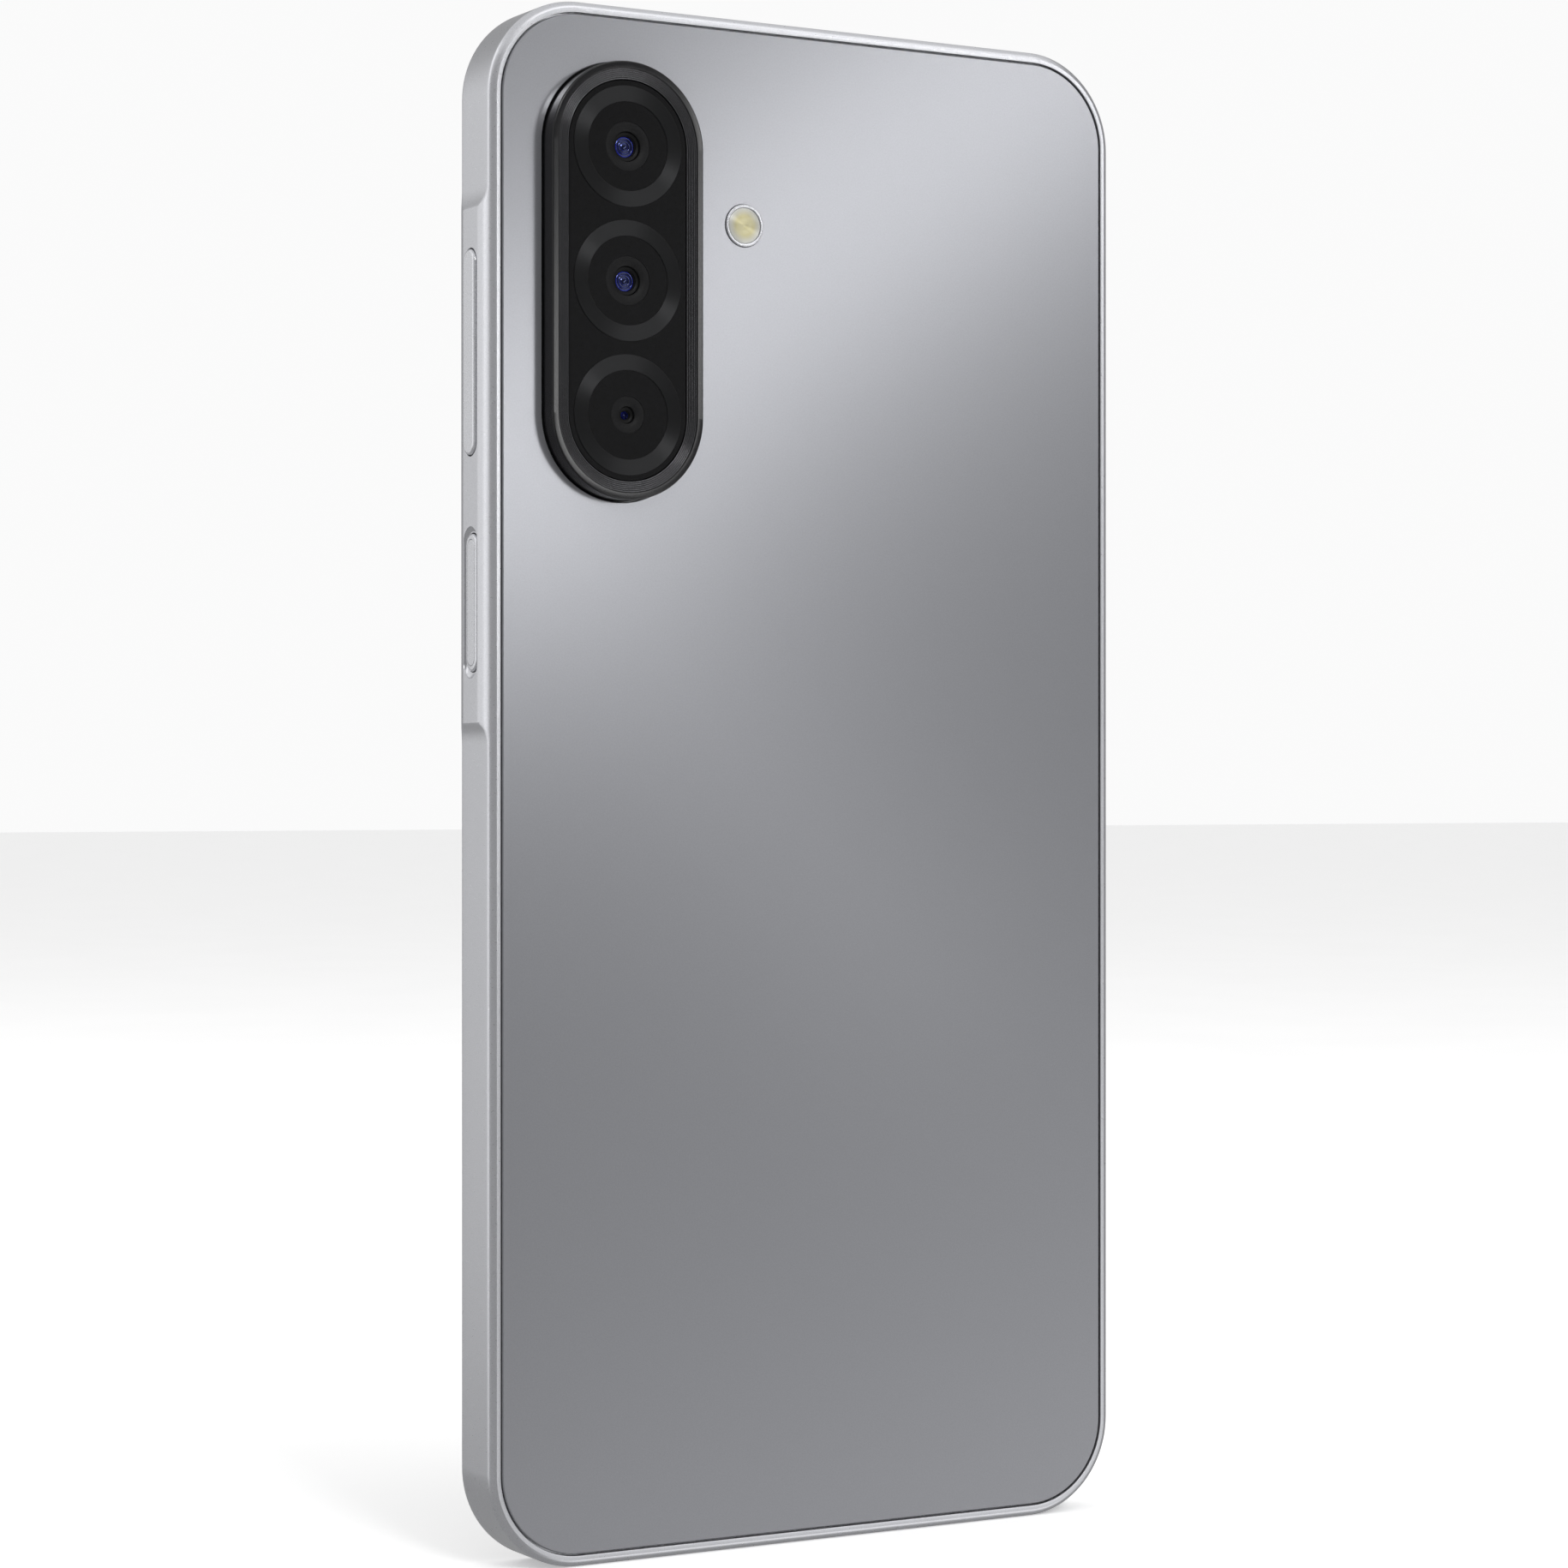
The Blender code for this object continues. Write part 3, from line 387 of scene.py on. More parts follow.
class Look(Nodes):
    """A material under construction."""

    def __init__(self, name):
        self.material = bpy.data.materials.new(name)
        self.material.use_nodes = True
        super().__init__(self.material.node_tree)
        self.shader = self.tree.nodes["Principled BSDF"]

    def set(self, **values):
        """Sets the shader's own sockets: base_color becomes Base Color, and so on."""
        names = {socket.name.lower().replace(" ", "_"): socket for socket in self.shader.inputs}
        for name, value in values.items():
            self.feed(names[name], value)
        return self

    def place(self):
        """The object's own coordinates in millimetres, as x, depth and v."""
        coordinates = self.node("ShaderNodeTexCoord").outputs["Object"]
        split = self.node("ShaderNodeSeparateXYZ", {0: coordinates})
        x, y, z = (self.math("MULTIPLY", split.outputs[i], 1 / MM) for i in range(3))
        return x, self.math("SUBTRACT", y, REAR_PLANE), self.math("SUBTRACT", z, CENTRE_V)

    def points(self, scale=(1.0, 1.0, 1.0)):
        """The object's own coordinates in millimetres, stretched, as one vector."""
        coordinates = self.node("ShaderNodeTexCoord").outputs["Object"]
        inputs = {"Vector": coordinates, "Scale": [part / MM for part in scale]}
        return self.node("ShaderNodeMapping", inputs).outputs[0]

    def noise(self, scale, detail=2.0, stretch=(1.0, 1.0, 1.0), roughness=0.5):
        """Noise of about that many blotches a millimetre, from 0 to 1."""
        inputs = {"Vector": self.points(stretch), "Scale": scale, "Detail": detail, "Roughness": roughness}
        return self.node("ShaderNodeTexNoise", inputs).outputs["Fac"]

    def radius_about(self, centre):
        """Distance in millimetres from the depth axis through centre (x, v)."""
        x, _, v = self.place()
        across = self.math("SUBTRACT", x, centre[0])
        up = self.math("SUBTRACT", v, centre[1])
        return self.math("SQRT", self.math("MULTIPLY_ADD", across, across, self.math("MULTIPLY", up, up)))

    def mix(self, factor, first, second):
        inputs = {0: factor, 6: first, 7: second}
        return self.node("ShaderNodeMix", inputs, data_type="RGBA").outputs[2]

    def colour(self, value):
        return self.set(base_color=value)

    def blend(self, pattern, dark, light, span=(0.3, 0.7), interpolation="SMOOTHSTEP"):
        """Colours the surface from dark to light as the pattern crosses the span."""
        return self.colour(self.mix(self.ramp(pattern, *span, interpolation=interpolation), dark, light))

    def rough(self, pattern, low, high):
        """Lets the roughness run from low to high with the pattern."""
        return self.set(roughness=self.ramp(pattern, 0.2, 0.8, low, high))

    def bump(self, height, strength, distance):
        """Bumps the surface by the height, as deep as distance in millimetres."""
        inputs = {"Strength": strength, "Distance": distance * MM, "Height": height}
        return self.set(normal=self.node("ShaderNodeBump", inputs).outputs[0])

    def grain(self, dark, light, fleck, rough, bump=None):
        """Three noises: fleck (scale, detail), rough (scale, low, high), bump (scale, strength, depth)."""
        self.blend(self.noise(*fleck), dark, light)
        self.rough(self.noise(rough[0]), *rough[1:])
        if bump:
            self.bump(self.noise(bump[0]), *bump[1:])
        return self.material

    def follow(self, pattern, dark, light, rough, bump, span=(0.3, 0.7)):
        """One pattern leads the colour, the roughness (low, high) and the bump (strength, depth)."""
        return self.blend(pattern, dark, light, span).rough(pattern, *rough).bump(pattern, *bump).material

    def round_tangent(self):
        """Turns the shader's grooves along the piece's "around" UV map."""
        tangent = self.node("ShaderNodeTangent", direction_type="UV_MAP", uv_map="around")
        return self.set(tangent=tangent.outputs[0])


# Reflections stretch along the tangent, so a quarter turn lays them across round grooves.
GROOVED = {"anisotropic": 1.0, "anisotropic_rotation": 0.25}
# Each painted blue reflection in a lens, a rim at the edge of a coating: its radius and width as parts of
# the lens's radius, and its strength.
COATING_REFLECTION_RIMS = ((0.93, 0.09, 0.45), (0.66, 0.07, 0.28), (0.36, 0.06, 0.22))
COATING_SHADE = (0.002, 0.002, 0.006)
STEEL = (0.55, 0.55, 0.56)


def shade(tone, factor):
    """The tone, lighter or darker by the factor."""
    return [part * factor for part in tone]


def painted_metal():
    """Satin metallic paint with a fine orange peel and a faint fleck."""
    tone = settings("colours").frame
    look = Look("satin_frame_paint").set(metallic=0.85, coat_weight=0.2, coat_roughness=0.2)
    dark, light = shade(tone, 0.93), shade(tone, 1.05)
    return look.grain(dark, light, (9.0, 3.0), (3.0, 0.27, 0.33), (5.5, 0.02, 0.002))


def polished_key():
    """The frame's paint, rubbed smoother on the keys."""
    tone = settings("colours").frame
    look = Look("satin_key_paint").set(metallic=0.75, coat_weight=0.3, coat_roughness=0.12)
    return look.grain(tone, shade(tone, 1.06), (9.0, 3.0), (3.0, 0.26, 0.31), (6.0, 0.01, 0.001))


def cover_film():
    """Satin metallic film under thin lacquer, with a fine grain."""
    tone = settings("colours").cover
    look = Look("rear_cover_film").set(metallic=0.6, coat_weight=0.08, coat_roughness=0.12)
    grain = look.noise(6.0, 3.0, roughness=0.65)
    look.blend(grain, shade(tone, 0.94), shade(tone, 1.06), (0.25, 0.75), "LINEAR")
    return look.rough(look.noise(4.0), 0.205, 0.225).bump(grain, 0.12, 0.003).material


def glossy_black(name, tone, roughness=0.12, gloss=0.3):
    """Moulded black with a hard gloss and faint mottling."""
    look = Look(name).set(specular_ior_level=gloss)
    lighter = (tone[0] * 1.35, tone[1] * 1.35, tone[2] * 1.4)
    rough = (5.0, roughness * 0.85, roughness * 1.2)
    return look.grain(tone, lighter, (2.0, 3.0), rough, (12.0, 0.04, 0.002))


def dark_metal(name, tone):
    """Blackened metal, polished enough to hold thin lines of light."""
    return Look(name).set(metallic=0.9).grain(tone, shade(tone, 1.25), (3.0, 3.0), (5.0, 0.16, 0.22))


def matte_black(name="matte_black", tone=(0.012, 0.012, 0.013), roughness=0.55):
    """Blackened moulding with a fine spark-eroded texture."""
    look = Look(name).set(specular_ior_level=0.08)
    rough = (6.0, roughness * 0.9, roughness * 1.1)
    return look.grain(tone, shade(tone, 1.5), (8.0, 3.0), rough, (20.0, 0.15, 0.004))


def spun_metal(name, tone, centre, roughness=0.5):
    """Metal turned in fine circles about its centre."""
    look = Look(name).set(metallic=1.0, **GROOVED).round_tangent()
    inputs = {"W": look.radius_about(centre), "Scale": 14.0, "Detail": 4.0}
    lines = look.node("ShaderNodeTexNoise", inputs, noise_dimensions="1D").outputs["Fac"]
    rough = (roughness * 0.85, roughness * 1.15)
    return look.follow(lines, tone, shade(tone, 1.2), rough, (0.04, 0.001))


def coated_lens(name, centre, eye):
    """A coated lens element: near black, with a painted blue reflection as a rim at the edge of each
    coating.
    """
    look = Look(name).set(coat_weight=0.3, coat_roughness=0.02, coat_tint=(0.3, 0.4, 1.0), ior=1.5)
    look.set(specular_tint=(0.25, 0.35, 1.0))
    radius = look.math("DIVIDE", look.radius_about(centre), eye)
    painted_reflection_rims = 0.0
    for where, width, strength in COATING_REFLECTION_RIMS:
        away = look.math("ABSOLUTE", look.math("SUBTRACT", radius, where))
        painted_reflection_rims = look.math("ADD", painted_reflection_rims, look.ramp(away, 0.0, width, strength, 0.0))
    swirl = look.ramp(look.noise(3.0), 0.35, 0.65, 0.5, 1.0)
    # The blue rims are painted reflections of the coatings, put into the base colour.
    blue = look.math("MULTIPLY", painted_reflection_rims, swirl, clamp=True)
    look.colour(look.mix(blue, COATING_SHADE, settings("colours").lens))
    return look.rough(look.noise(4.0), 0.04, 0.08).material


def flash_cream(centre):
    """The flash's moulded lens: yellow phosphor seen through it, paler towards the rim."""
    look = Look("flash_cream").set(metallic=0.45, coat_weight=0.4, coat_roughness=0.12, **GROOVED)
    look.round_tangent()
    look.blend(look.radius_about(centre), settings("colours").flash, (0.50, 0.50, 0.47), (0.9, 1.9))
    return look.rough(look.noise(4.0), 0.48, 0.54).material


def display_black(eye):
    """Cover glass over an unlit display: black, with a faintly lighter active area and a camera hole."""
    tone = settings("colours").display
    look = Look("display_black").set(ior=1.5)
    x, _, v = look.place()
    border, reach, middle_v, soft = 3.5, 78.0, 0.9, 0.05
    side = BODY_WIDTH / 2 - border
    inside_x = look.ramp(look.math("ABSOLUTE", x), side, side + soft, 1.0, 0.0)
    height = look.math("ABSOLUTE", look.math("SUBTRACT", v, middle_v))
    inside_v = look.ramp(height, reach, reach + soft, 1.0, 0.0)
    radius = look.radius_about(eye)
    active = look.math("MULTIPLY", look.math("MULTIPLY", inside_x, inside_v), look.ramp(radius, 2.3, 2.35))
    ring = look.math("MULTIPLY", look.ramp(radius, 1.35, 1.4), look.ramp(radius, 1.6, 1.65, 0.5, 0.0))
    lens = look.ramp(radius, 0.7, 0.8, 0.6, 0.0)
    glass = look.mix(active, tone, shade(tone, 2.6))
    glass = look.mix(ring, glass, (0.05, 0.05, 0.055))
    look.colour(look.mix(lens, glass, settings("colours").lens))
    smudge = look.ramp(look.noise(0.05, 3.0), 0.35, 0.7)
    return look.set(roughness=look.math("MULTIPLY_ADD", smudge, 0.03, 0.05)).material


def brushed_metal(name, tone, roughness=0.35, stretch=(0.2, 1.0, 6.0)):
    """Bare metal with fine straight brushing."""
    look = Look(name).set(metallic=1.0)
    rough = (roughness * 0.8, roughness * 1.2)
    lines = look.noise(4.0, 4.0, stretch)
    return look.follow(lines, shade(tone, 0.8), tone, rough, (0.12, 0.004), (0.25, 0.75))


def circuit_board():
    """Green solder mask over copper tracks and pads."""
    look = Look("circuit_board").set(coat_weight=0.4, coat_roughness=0.2)
    cells = look.node("ShaderNodeTexBrick", {"Vector": look.points(), "Scale": 0.35, "Mortar Size": 0.06})
    tracks = look.ramp(look.noise(0.9, 1.0, (1.0, 1.0, 4.0)), 0.5, 0.54)
    pads = look.ramp(cells.outputs["Fac"], 0.4, 0.6, 0.0, 0.7)
    mask = look.mix(tracks, (0.010, 0.075, 0.035), (0.02, 0.14, 0.07))
    look.colour(look.mix(pads, mask, (0.55, 0.40, 0.15)))
    return look.set(roughness=look.ramp(tracks, 0.0, 1.0, 0.45, 0.3)).bump(tracks, 0.3, 0.02).material


def foil_wrap():
    """The battery's dark pouch film, faintly creased."""
    look = Look("battery_wrap").set(metallic=0.2, coat_weight=0.3, coat_roughness=0.3)
    creases = look.noise(0.25, 5.0)
    return look.follow(creases, (0.018, 0.018, 0.02), (0.045, 0.045, 0.05), (0.35, 0.5), (0.4, 0.05))


def flex_film():
    """Amber film with printed lines along it."""
    look = Look("flex_film").set(coat_weight=0.3, coat_roughness=0.2)
    wave = look.node("ShaderNodeTexWave", {"Vector": look.points(), "Scale": 0.5}, bands_direction="X")
    lines = look.ramp(wave.outputs["Fac"], 0.45, 0.55)
    look.colour(look.mix(lines, (0.30, 0.11, 0.02), (0.55, 0.27, 0.06)))
    return look.rough(look.noise(2.0), 0.3, 0.45).bump(lines, 0.2, 0.01).material


def rubber():
    """Soft grey silicone with a dusty surface."""
    look = Look("seal_rubber").set(sheen_weight=0.2)
    dust = look.noise(3.0, 4.0)
    return look.follow(dust, (0.06, 0.06, 0.065), (0.10, 0.10, 0.105), (0.65, 0.85), (0.2, 0.01))


# ---------------------------------------------------------------- geometry trees


class GeometryTree(Nodes):
    """A geometry tree under construction, with named inputs."""

    def __init__(self, name):
        super().__init__(bpy.data.node_groups.new(name, "GeometryNodeTree"))
        for side in ("INPUT", "OUTPUT"):
            self.tree.interface.new_socket("Geometry", in_out=side, socket_type="NodeSocketGeometry")
        self.entry = self.node("NodeGroupInput")

    def input(self, name, kind="Float"):
        self.tree.interface.new_socket(name, in_out="INPUT", socket_type="NodeSocket" + kind)
        return self.entry.outputs[name]

    def finish(self, geometry):
        """Realizes the result, gives it the material input and ends the tree."""
        plain = self.node("GeometryNodeRealizeInstances", {"Geometry": geometry}).outputs[0]
        dress = {"Geometry": plain, "Material": self.input("Material", "Material")}
        dressed = self.node("GeometryNodeSetMaterial", dress).outputs[0]
        self.node("NodeGroupOutput", {"Geometry": dressed})
        return self.tree


def nested_beads_tree():
    """Round beads along nested slot-shaped paths, each one further in and lower than the last."""
    tree = GeometryTree("nested_beads")
    path = {"Width": tree.input("Width"), "Height": tree.input("Height")}
    path = tree.node("GeometryNodeCurvePrimitiveQuadrilateral", path).outputs[0]
    fillet = {"Curve": path, "Radius": tree.input("Corner"), "Count": tree.input("Steps", "Int")}
    fillet = tree.node("GeometryNodeFilletCurve", fillet, mode="POLY").outputs[0]
    beads = {"Geometry": fillet, "Amount": tree.input("Count", "Int")}
    copies = tree.node("GeometryNodeDuplicateElements", beads, domain="SPLINE")
    back = tree.math("MULTIPLY", copies.outputs["Duplicate Index"], -1.0)
    normal = tree.node("GeometryNodeInputNormal").outputs[0]
    inward = {0: normal, "Scale": tree.math("MULTIPLY", back, tree.input("Pitch"))}
    inward = tree.node("ShaderNodeVectorMath", inward, operation="SCALE").outputs[0]
    lower = {"Z": tree.math("MULTIPLY", back, tree.input("Drop"))}
    lower = tree.node("ShaderNodeCombineXYZ", lower).outputs[0]
    offset = tree.node("ShaderNodeVectorMath", {0: inward, 1: lower}, operation="ADD").outputs[0]
    moved = {"Geometry": copies.outputs["Geometry"], "Offset": offset}
    moved = tree.node("GeometryNodeSetPosition", moved).outputs[0]
    section = {"Resolution": 8, "Radius": tree.input("Bead")}
    section = tree.node("GeometryNodeCurvePrimitiveCircle", section).outputs[0]
    sweep = {"Curve": moved, "Profile Curve": section}
    return tree.finish(tree.node("GeometryNodeCurveToMesh", sweep).outputs[0])


def row_tree():
    """Equal blocks in a row, such as contacts or the wires of a mesh."""
    tree = GeometryTree("row_of_blocks")
    row = {"Count": tree.input("Count", "Int"), "Start Location": tree.input("Start", "Vector")}
    row["Offset"] = tree.input("Step", "Vector")
    row = tree.node("GeometryNodeMeshLine", row, mode="OFFSET").outputs[0]
    block = tree.node("GeometryNodeMeshCube", {"Size": tree.input("Size", "Vector")}).outputs["Mesh"]
    blocks = tree.node("GeometryNodeInstanceOnPoints", {"Points": row, "Instance": block}).outputs[0]
    return tree.finish(blocks)


def grow(name, group, values, turn=None):
    """The housing's piece that a geometry tree makes from those inputs, as a plain mesh in its place."""
    piece = add_object(name, bpy.data.meshes.new(name))
    nodes = piece.modifiers.new(name, "NODES")
    nodes.node_group = group
    sockets = {item.name: item.identifier for item in group.interface.items_tree if item.in_out == "INPUT"}
    for key, value in values.items():
        nodes[sockets[key]] = value
    bake_modifiers(piece)
    if turn:
        piece.data.transform(turn)
        piece.data.shade_smooth()
    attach(piece, "housing")


def block_row(name, number, start, step, size, look):
    """Blocks of that size in a row that starts at (x, depth, v), each one a step on from the last."""
    group = bpy.data.node_groups.get("row_of_blocks") or row_tree()
    values = {"Count": number, "Start": millimetres(start), "Material": look}
    values["Step"] = [part * MM for part in step]
    values["Size"] = [part * MM for part in size]
    grow(name, group, values)


def millimetres(point):
    """A place (x, depth, v) in millimetres as metres in the frame."""
    x, depth, v = point
    return Vector((x, REAR_PLANE + depth, CENTRE_V + v)) * MM


# ---------------------------------------------------------------- frame and covers


def body_outline(inset, steps=24):
    """The phone's outline, moved inwards."""
    radius = settings("body").corner_radius
    return rounded_rect(BODY_WIDTH - 2 * inset, BODY_HEIGHT - 2 * inset, radius - inset, steps)


def soft_maximum(first, second, softness):
    gap = first - second
    return (first + second + math.sqrt(gap * gap + softness * softness)) / 2


def round_edge(depth):
    """Inset of the fully round side at a depth: it stands as high as the key island between the edges."""
    sizes = settings("body")
    past = max(sizes.rear_edge_centre - depth, depth - sizes.front_edge_centre, 0.0)
    return sizes.edge_radius - math.sqrt(sizes.edge_radius**2 - past**2) - KEY_ISLAND_HEIGHT


def side_depths():
    """Depths at which the side is drawn, close together near its creases."""
    sizes = settings("body")
    reach = math.sqrt(sizes.edge_radius**2 - (sizes.edge_radius - KEY_ISLAND_HEIGHT) ** 2)
    rear_crease = sizes.rear_edge_centre - reach
    near = (-0.16, -0.1, -0.06, -0.03, 0.0, 0.03, 0.06, 0.1, 0.16)
    depths = [0.07 + (rear_crease - 0.25) * i / 4 for i in range(5)]
    depths += [rear_crease + step for step in near]
    depths += [rear_crease + 0.2 + (reach - 0.2) * i / 13 for i in range(1, 14)]
    span = sizes.front_edge_centre + sizes.rear_edge_centre
    mirrored = [span - depth for depth in reversed(depths)]
    return depths + [depth for depth in mirrored if depth < FRONT_RIM_DEPTH - 0.05]


FRONT_RIM_DEPTH = 7.42
FRONT_RIM_INSET = 0.82
WALL_INSET = 1.7
KEY_ISLAND_V = (6.36, 60.14)
RAMP_STEPS = 22


def key_island_heights():
    """How high the side may stand at each v down the key island, with a hollow ramp at each end."""
    low, high = KEY_ISLAND_V
    reach = settings("body").ramp
    ramp = [step / RAMP_STEPS for step in range(RAMP_STEPS, -1, -1)]
    full = KEY_ISLAND_HEIGHT * 1.04
    above = [(high + reach * t, full * (1 - t) ** 2) for t in ramp]
    below = [(low - reach * t, full * (1 - t) ** 2) for t in reversed(ramp)]
    edge = 0.02
    return above + [(high - edge, None), (low + edge, None)] + below


def frame_loop(inset, depth, plain_inset):
    """One loop round the phone at plain_inset. Along the key island it rises towards inset."""
    sizes = settings("body")
    outline = body_outline(plain_inset)
    left = min(x for x, _ in outline)
    loop = []
    for index, (x, v) in enumerate(outline):
        loop.append(Vector((x, depth, v)))
        following = outline[(index + 1) % len(outline)]
        if abs(x - left) < 1e-6 and abs(following[0] - left) < 1e-6:
            for station, height in key_island_heights():
                raised = inset if height is None else soft_maximum(inset, -height, sizes.crease)
                loop.append(Vector((-BODY_WIDTH / 2 + min(raised, plain_inset), depth, station)))
    return loop


def frame_loops():
    """The loops that the frame's skin runs through, from the rear rim round the outside and back inside."""
    sizes = settings("body")
    rim, start, groove = sizes.rim_inset, round_edge(0.0), 0.05
    rear = [(rim, groove), (rim - 0.015, 0.015), (rim - groove, 0.0), (start + 0.30, 0.012)]
    rear += [(start + 0.10, 0.004), (start + 0.035, 0.006), (start + 0.01, 0.022)]
    inside = [
        (round_edge(FRONT_RIM_DEPTH) + 0.06, FRONT_RIM_DEPTH),
        (FRONT_RIM_INSET - 0.04, FRONT_RIM_DEPTH),
        (FRONT_RIM_INSET, FRONT_RIM_DEPTH - 0.04),
        (FRONT_RIM_INSET, 6.55),
        (2.3, 6.55),
        (2.3, 5.75),
        (WALL_INSET, 5.75),
        (WALL_INSET, 1.85),
        (2.9, 1.85),
        (2.9, 0.98),
        (sizes.rim_inset, 0.98),
    ]
    loops = [frame_loop(inset, depth, inset) for inset, depth in rear]
    for depth in side_depths():
        inset = round_edge(depth)
        loops.append(frame_loop(inset, depth, soft_maximum(inset, 0.0, sizes.crease)))
    return loops + [frame_loop(inset, depth, inset) for inset, depth in inside]


KEY_WIDTH = 2.65
KEY_LENGTHS = {"volume_key": 21.5, "power_key": 14.4}
GAP = 0.12
SPEAKER_SLOTS = [-24.6 + 2.4 * index for index in range(6)]
SPEAKER_OPENING = (1.7, 1.1)
PORT_OPENING = (9.1, 3.35)
MICROPHONE_X = 12.5
MICROPHONE_RADIUS = 0.6
RECESS = {"length": 15.9, "width": 3.3, "depth": 0.35}


def frame_cutters():
    """Slots, port and holes in the frame, with softly broken edges."""
    made = bmesh.new()
    side, bottom, top = BODY_WIDTH / 2, -BODY_HEIGHT / 2, KEY_ISLAND_TOP
    stations = [(3 - side, 0.0), (top + 0.05, 0.0), (top, 0.035), (top - 0.4, 0.3)]
    for node, tall in KEY_LENGTHS.items():
        slot_loft(along_width, (KEY_WIDTH + 2 * GAP, tall + 2 * GAP), stations, middle(node)[1:], into=made)
    _, wide, tall = extent("sim_tray")
    stations = [(side - 3, 0.0), (side - 0.06, 0.0), (side, 0.04), (side + 0.4, 0.3)]
    slot_loft(along_width, (wide + 2 * GAP, tall + 2 * GAP), stations, middle("sim_tray")[1:], into=made)
    stations = [(bottom + 2.4, 0.0), (bottom + 0.22, 0.0), (bottom + 0.1, 0.04), (bottom, 0.16)]
    stations.append((bottom - 0.4, 0.6))
    slot_loft(along_height, PORT_OPENING, stations, (0.0, MID_DEPTH), into=made)
    stations = [(bottom + 2.4, 0.0), (bottom + 0.1, 0.0), (bottom, 0.08), (bottom - 0.4, 0.4)]
    for x in SPEAKER_SLOTS:
        slot_loft(along_height, SPEAKER_OPENING, stations, (x, MID_DEPTH), 8, made)
    rings = [(circle(MICROPHONE_RADIUS + g, 24), v) for v, g in stations]
    for end in (1, -1):
        skin([along_height(ring, end * v, (MICROPHONE_X, MID_DEPTH)) for ring, v in rings], into=made)
    return made


def power_recess():
    """The soft dish round the power key."""
    deepest, wide, tall = RECESS["depth"], RECESS["width"], RECESS["length"]
    place = middle("power_key")[1:]
    loops = []
    for step in range(9):
        left = 1 - step / 8
        shrink = left**1.6
        outline = stadium(wide - 0.3 * shrink, tall - 1.0 * shrink)
        loops.append(along_width(outline, KEY_ISLAND_TOP + deepest * left, place))
    loops.append(along_width(stadium(wide + 0.25, tall + 0.25), KEY_ISLAND_TOP - 0.15, place))
    return skin(loops)


class SMARTPHONE_OT_side_frame(bpy.types.Operator):
    """Builds the frame: flat sides cut into wide round edges, the key island, slots and holes"""

    bl_idname = "smartphone.side_frame"
    bl_label = "Side frame"

    def execute(self, context):
        piece = new_object("frame_shell", skin(frame_loops(), ring=True))
        carve(piece, power_recess())
        carve(piece, frame_cutters())
        settle(piece, painted_metal(), "housing", ["side_frame"], 24.0)
        return {"FINISHED"}


COVER_THICKNESS = 0.7


class SMARTPHONE_OT_rear_cover(bpy.types.Operator):
    """Builds the flush rear cover with its chamfered edge and cut-outs"""

    bl_idname = "smartphone.rear_cover"
    bl_label = "Rear cover"

    def execute(self, context):
        sizes, island = settings("body"), settings("island")
        edge, chamfer = sizes.rim_inset + sizes.seam, sizes.cover_chamfer
        stations = [(edge + chamfer, 0.0), (edge + chamfer * 0.4, chamfer * 0.35), (edge, chamfer)]
        stations.append((edge, COVER_THICKNESS))
        piece = new_object("rear_panel", skin([along_depth(body_outline(i), d) for i, d in stations]))
        holes = bmesh.new()
        openings = (
            ("camera_bezel", 2 * (island.radius + 0.13), 2 * LENS_PITCH, 0.09),
            ("flash_bezel", 2 * (island.flash_radius + 0.04), 0.0, 0.04),
        )
        for node, wide, straight, bevel in openings:
            x, _, v = middle(node)
            mouth = ((-0.4, 0.4 + bevel), (0.0, bevel), (bevel, 0.0), (1.2, 0.0))
            slot_loft(along_depth, (wide, wide + straight), mouth, (x, v), 40, holes)
        carve(piece, holes)
        settle(piece, cover_film(), "housing", ["rear_cover"])
        return {"FINISHED"}


LENS_PITCH = (middle("lens_ring_top")[2] - middle("lens_ring_bottom")[2]) / 2


class SMARTPHONE_OT_display(bpy.types.Operator):
    """Builds the display's cover glass with its rounded edge and earpiece notch"""

    bl_idname = "smartphone.display"
    bl_label = "Display"

    def execute(self, context):
        radius = settings("body").glass_chamfer
        low, high, inset = 6.85, BODY_DEPTH, FRONT_RIM_INSET + 0.15
        loops = [along_depth(body_outline(inset), low)]
        for rise, out in quarter_round(radius, 6):
            loops.append(along_depth(body_outline(inset + rise), high - out))
        piece = new_object("display_cover_glass", skin(loops))
        x, depth, v = middle("earpiece_mesh")
        wide, _, tall = extent("earpiece_mesh")
        stations = ((6.0, 0.06), (high - 0.06, 0.06), (high + 0.2, 0.2))
        carve(piece, slot_loft(along_depth, (wide, tall), stations, (x, v), 8))
        eye = middle("front_camera_housing")[::2]
        settle(piece, display_black(eye), "housing", ["display_glass"])
        pitch = 0.22
        number = int(wide / pitch) - 2
        start = (x - pitch * (number - 1) / 2, 7.1, v)
        look = brushed_metal("earpiece_wire", (0.10, 0.10, 0.105), 0.4)
        wire = (0.11, 0.11, tall - 0.06)
        block_row("earpiece_wires", number, start, (pitch, 0.0, 0.0), wire, look)
        return {"FINISHED"}


# ---------------------------------------------------------------- camera island


def stepped(radius, depth, steps):
    """A profile of (radius, depth): each step is its distance out and back from that radius and depth."""
    return [(radius + out, depth + back) for out, back in steps]


def island_outline(radius, steps=48):
    """The camera island's outline at that distance from the line through its lenses."""
    return stadium(2 * radius, 2 * LENS_PITCH + 2 * radius, steps)


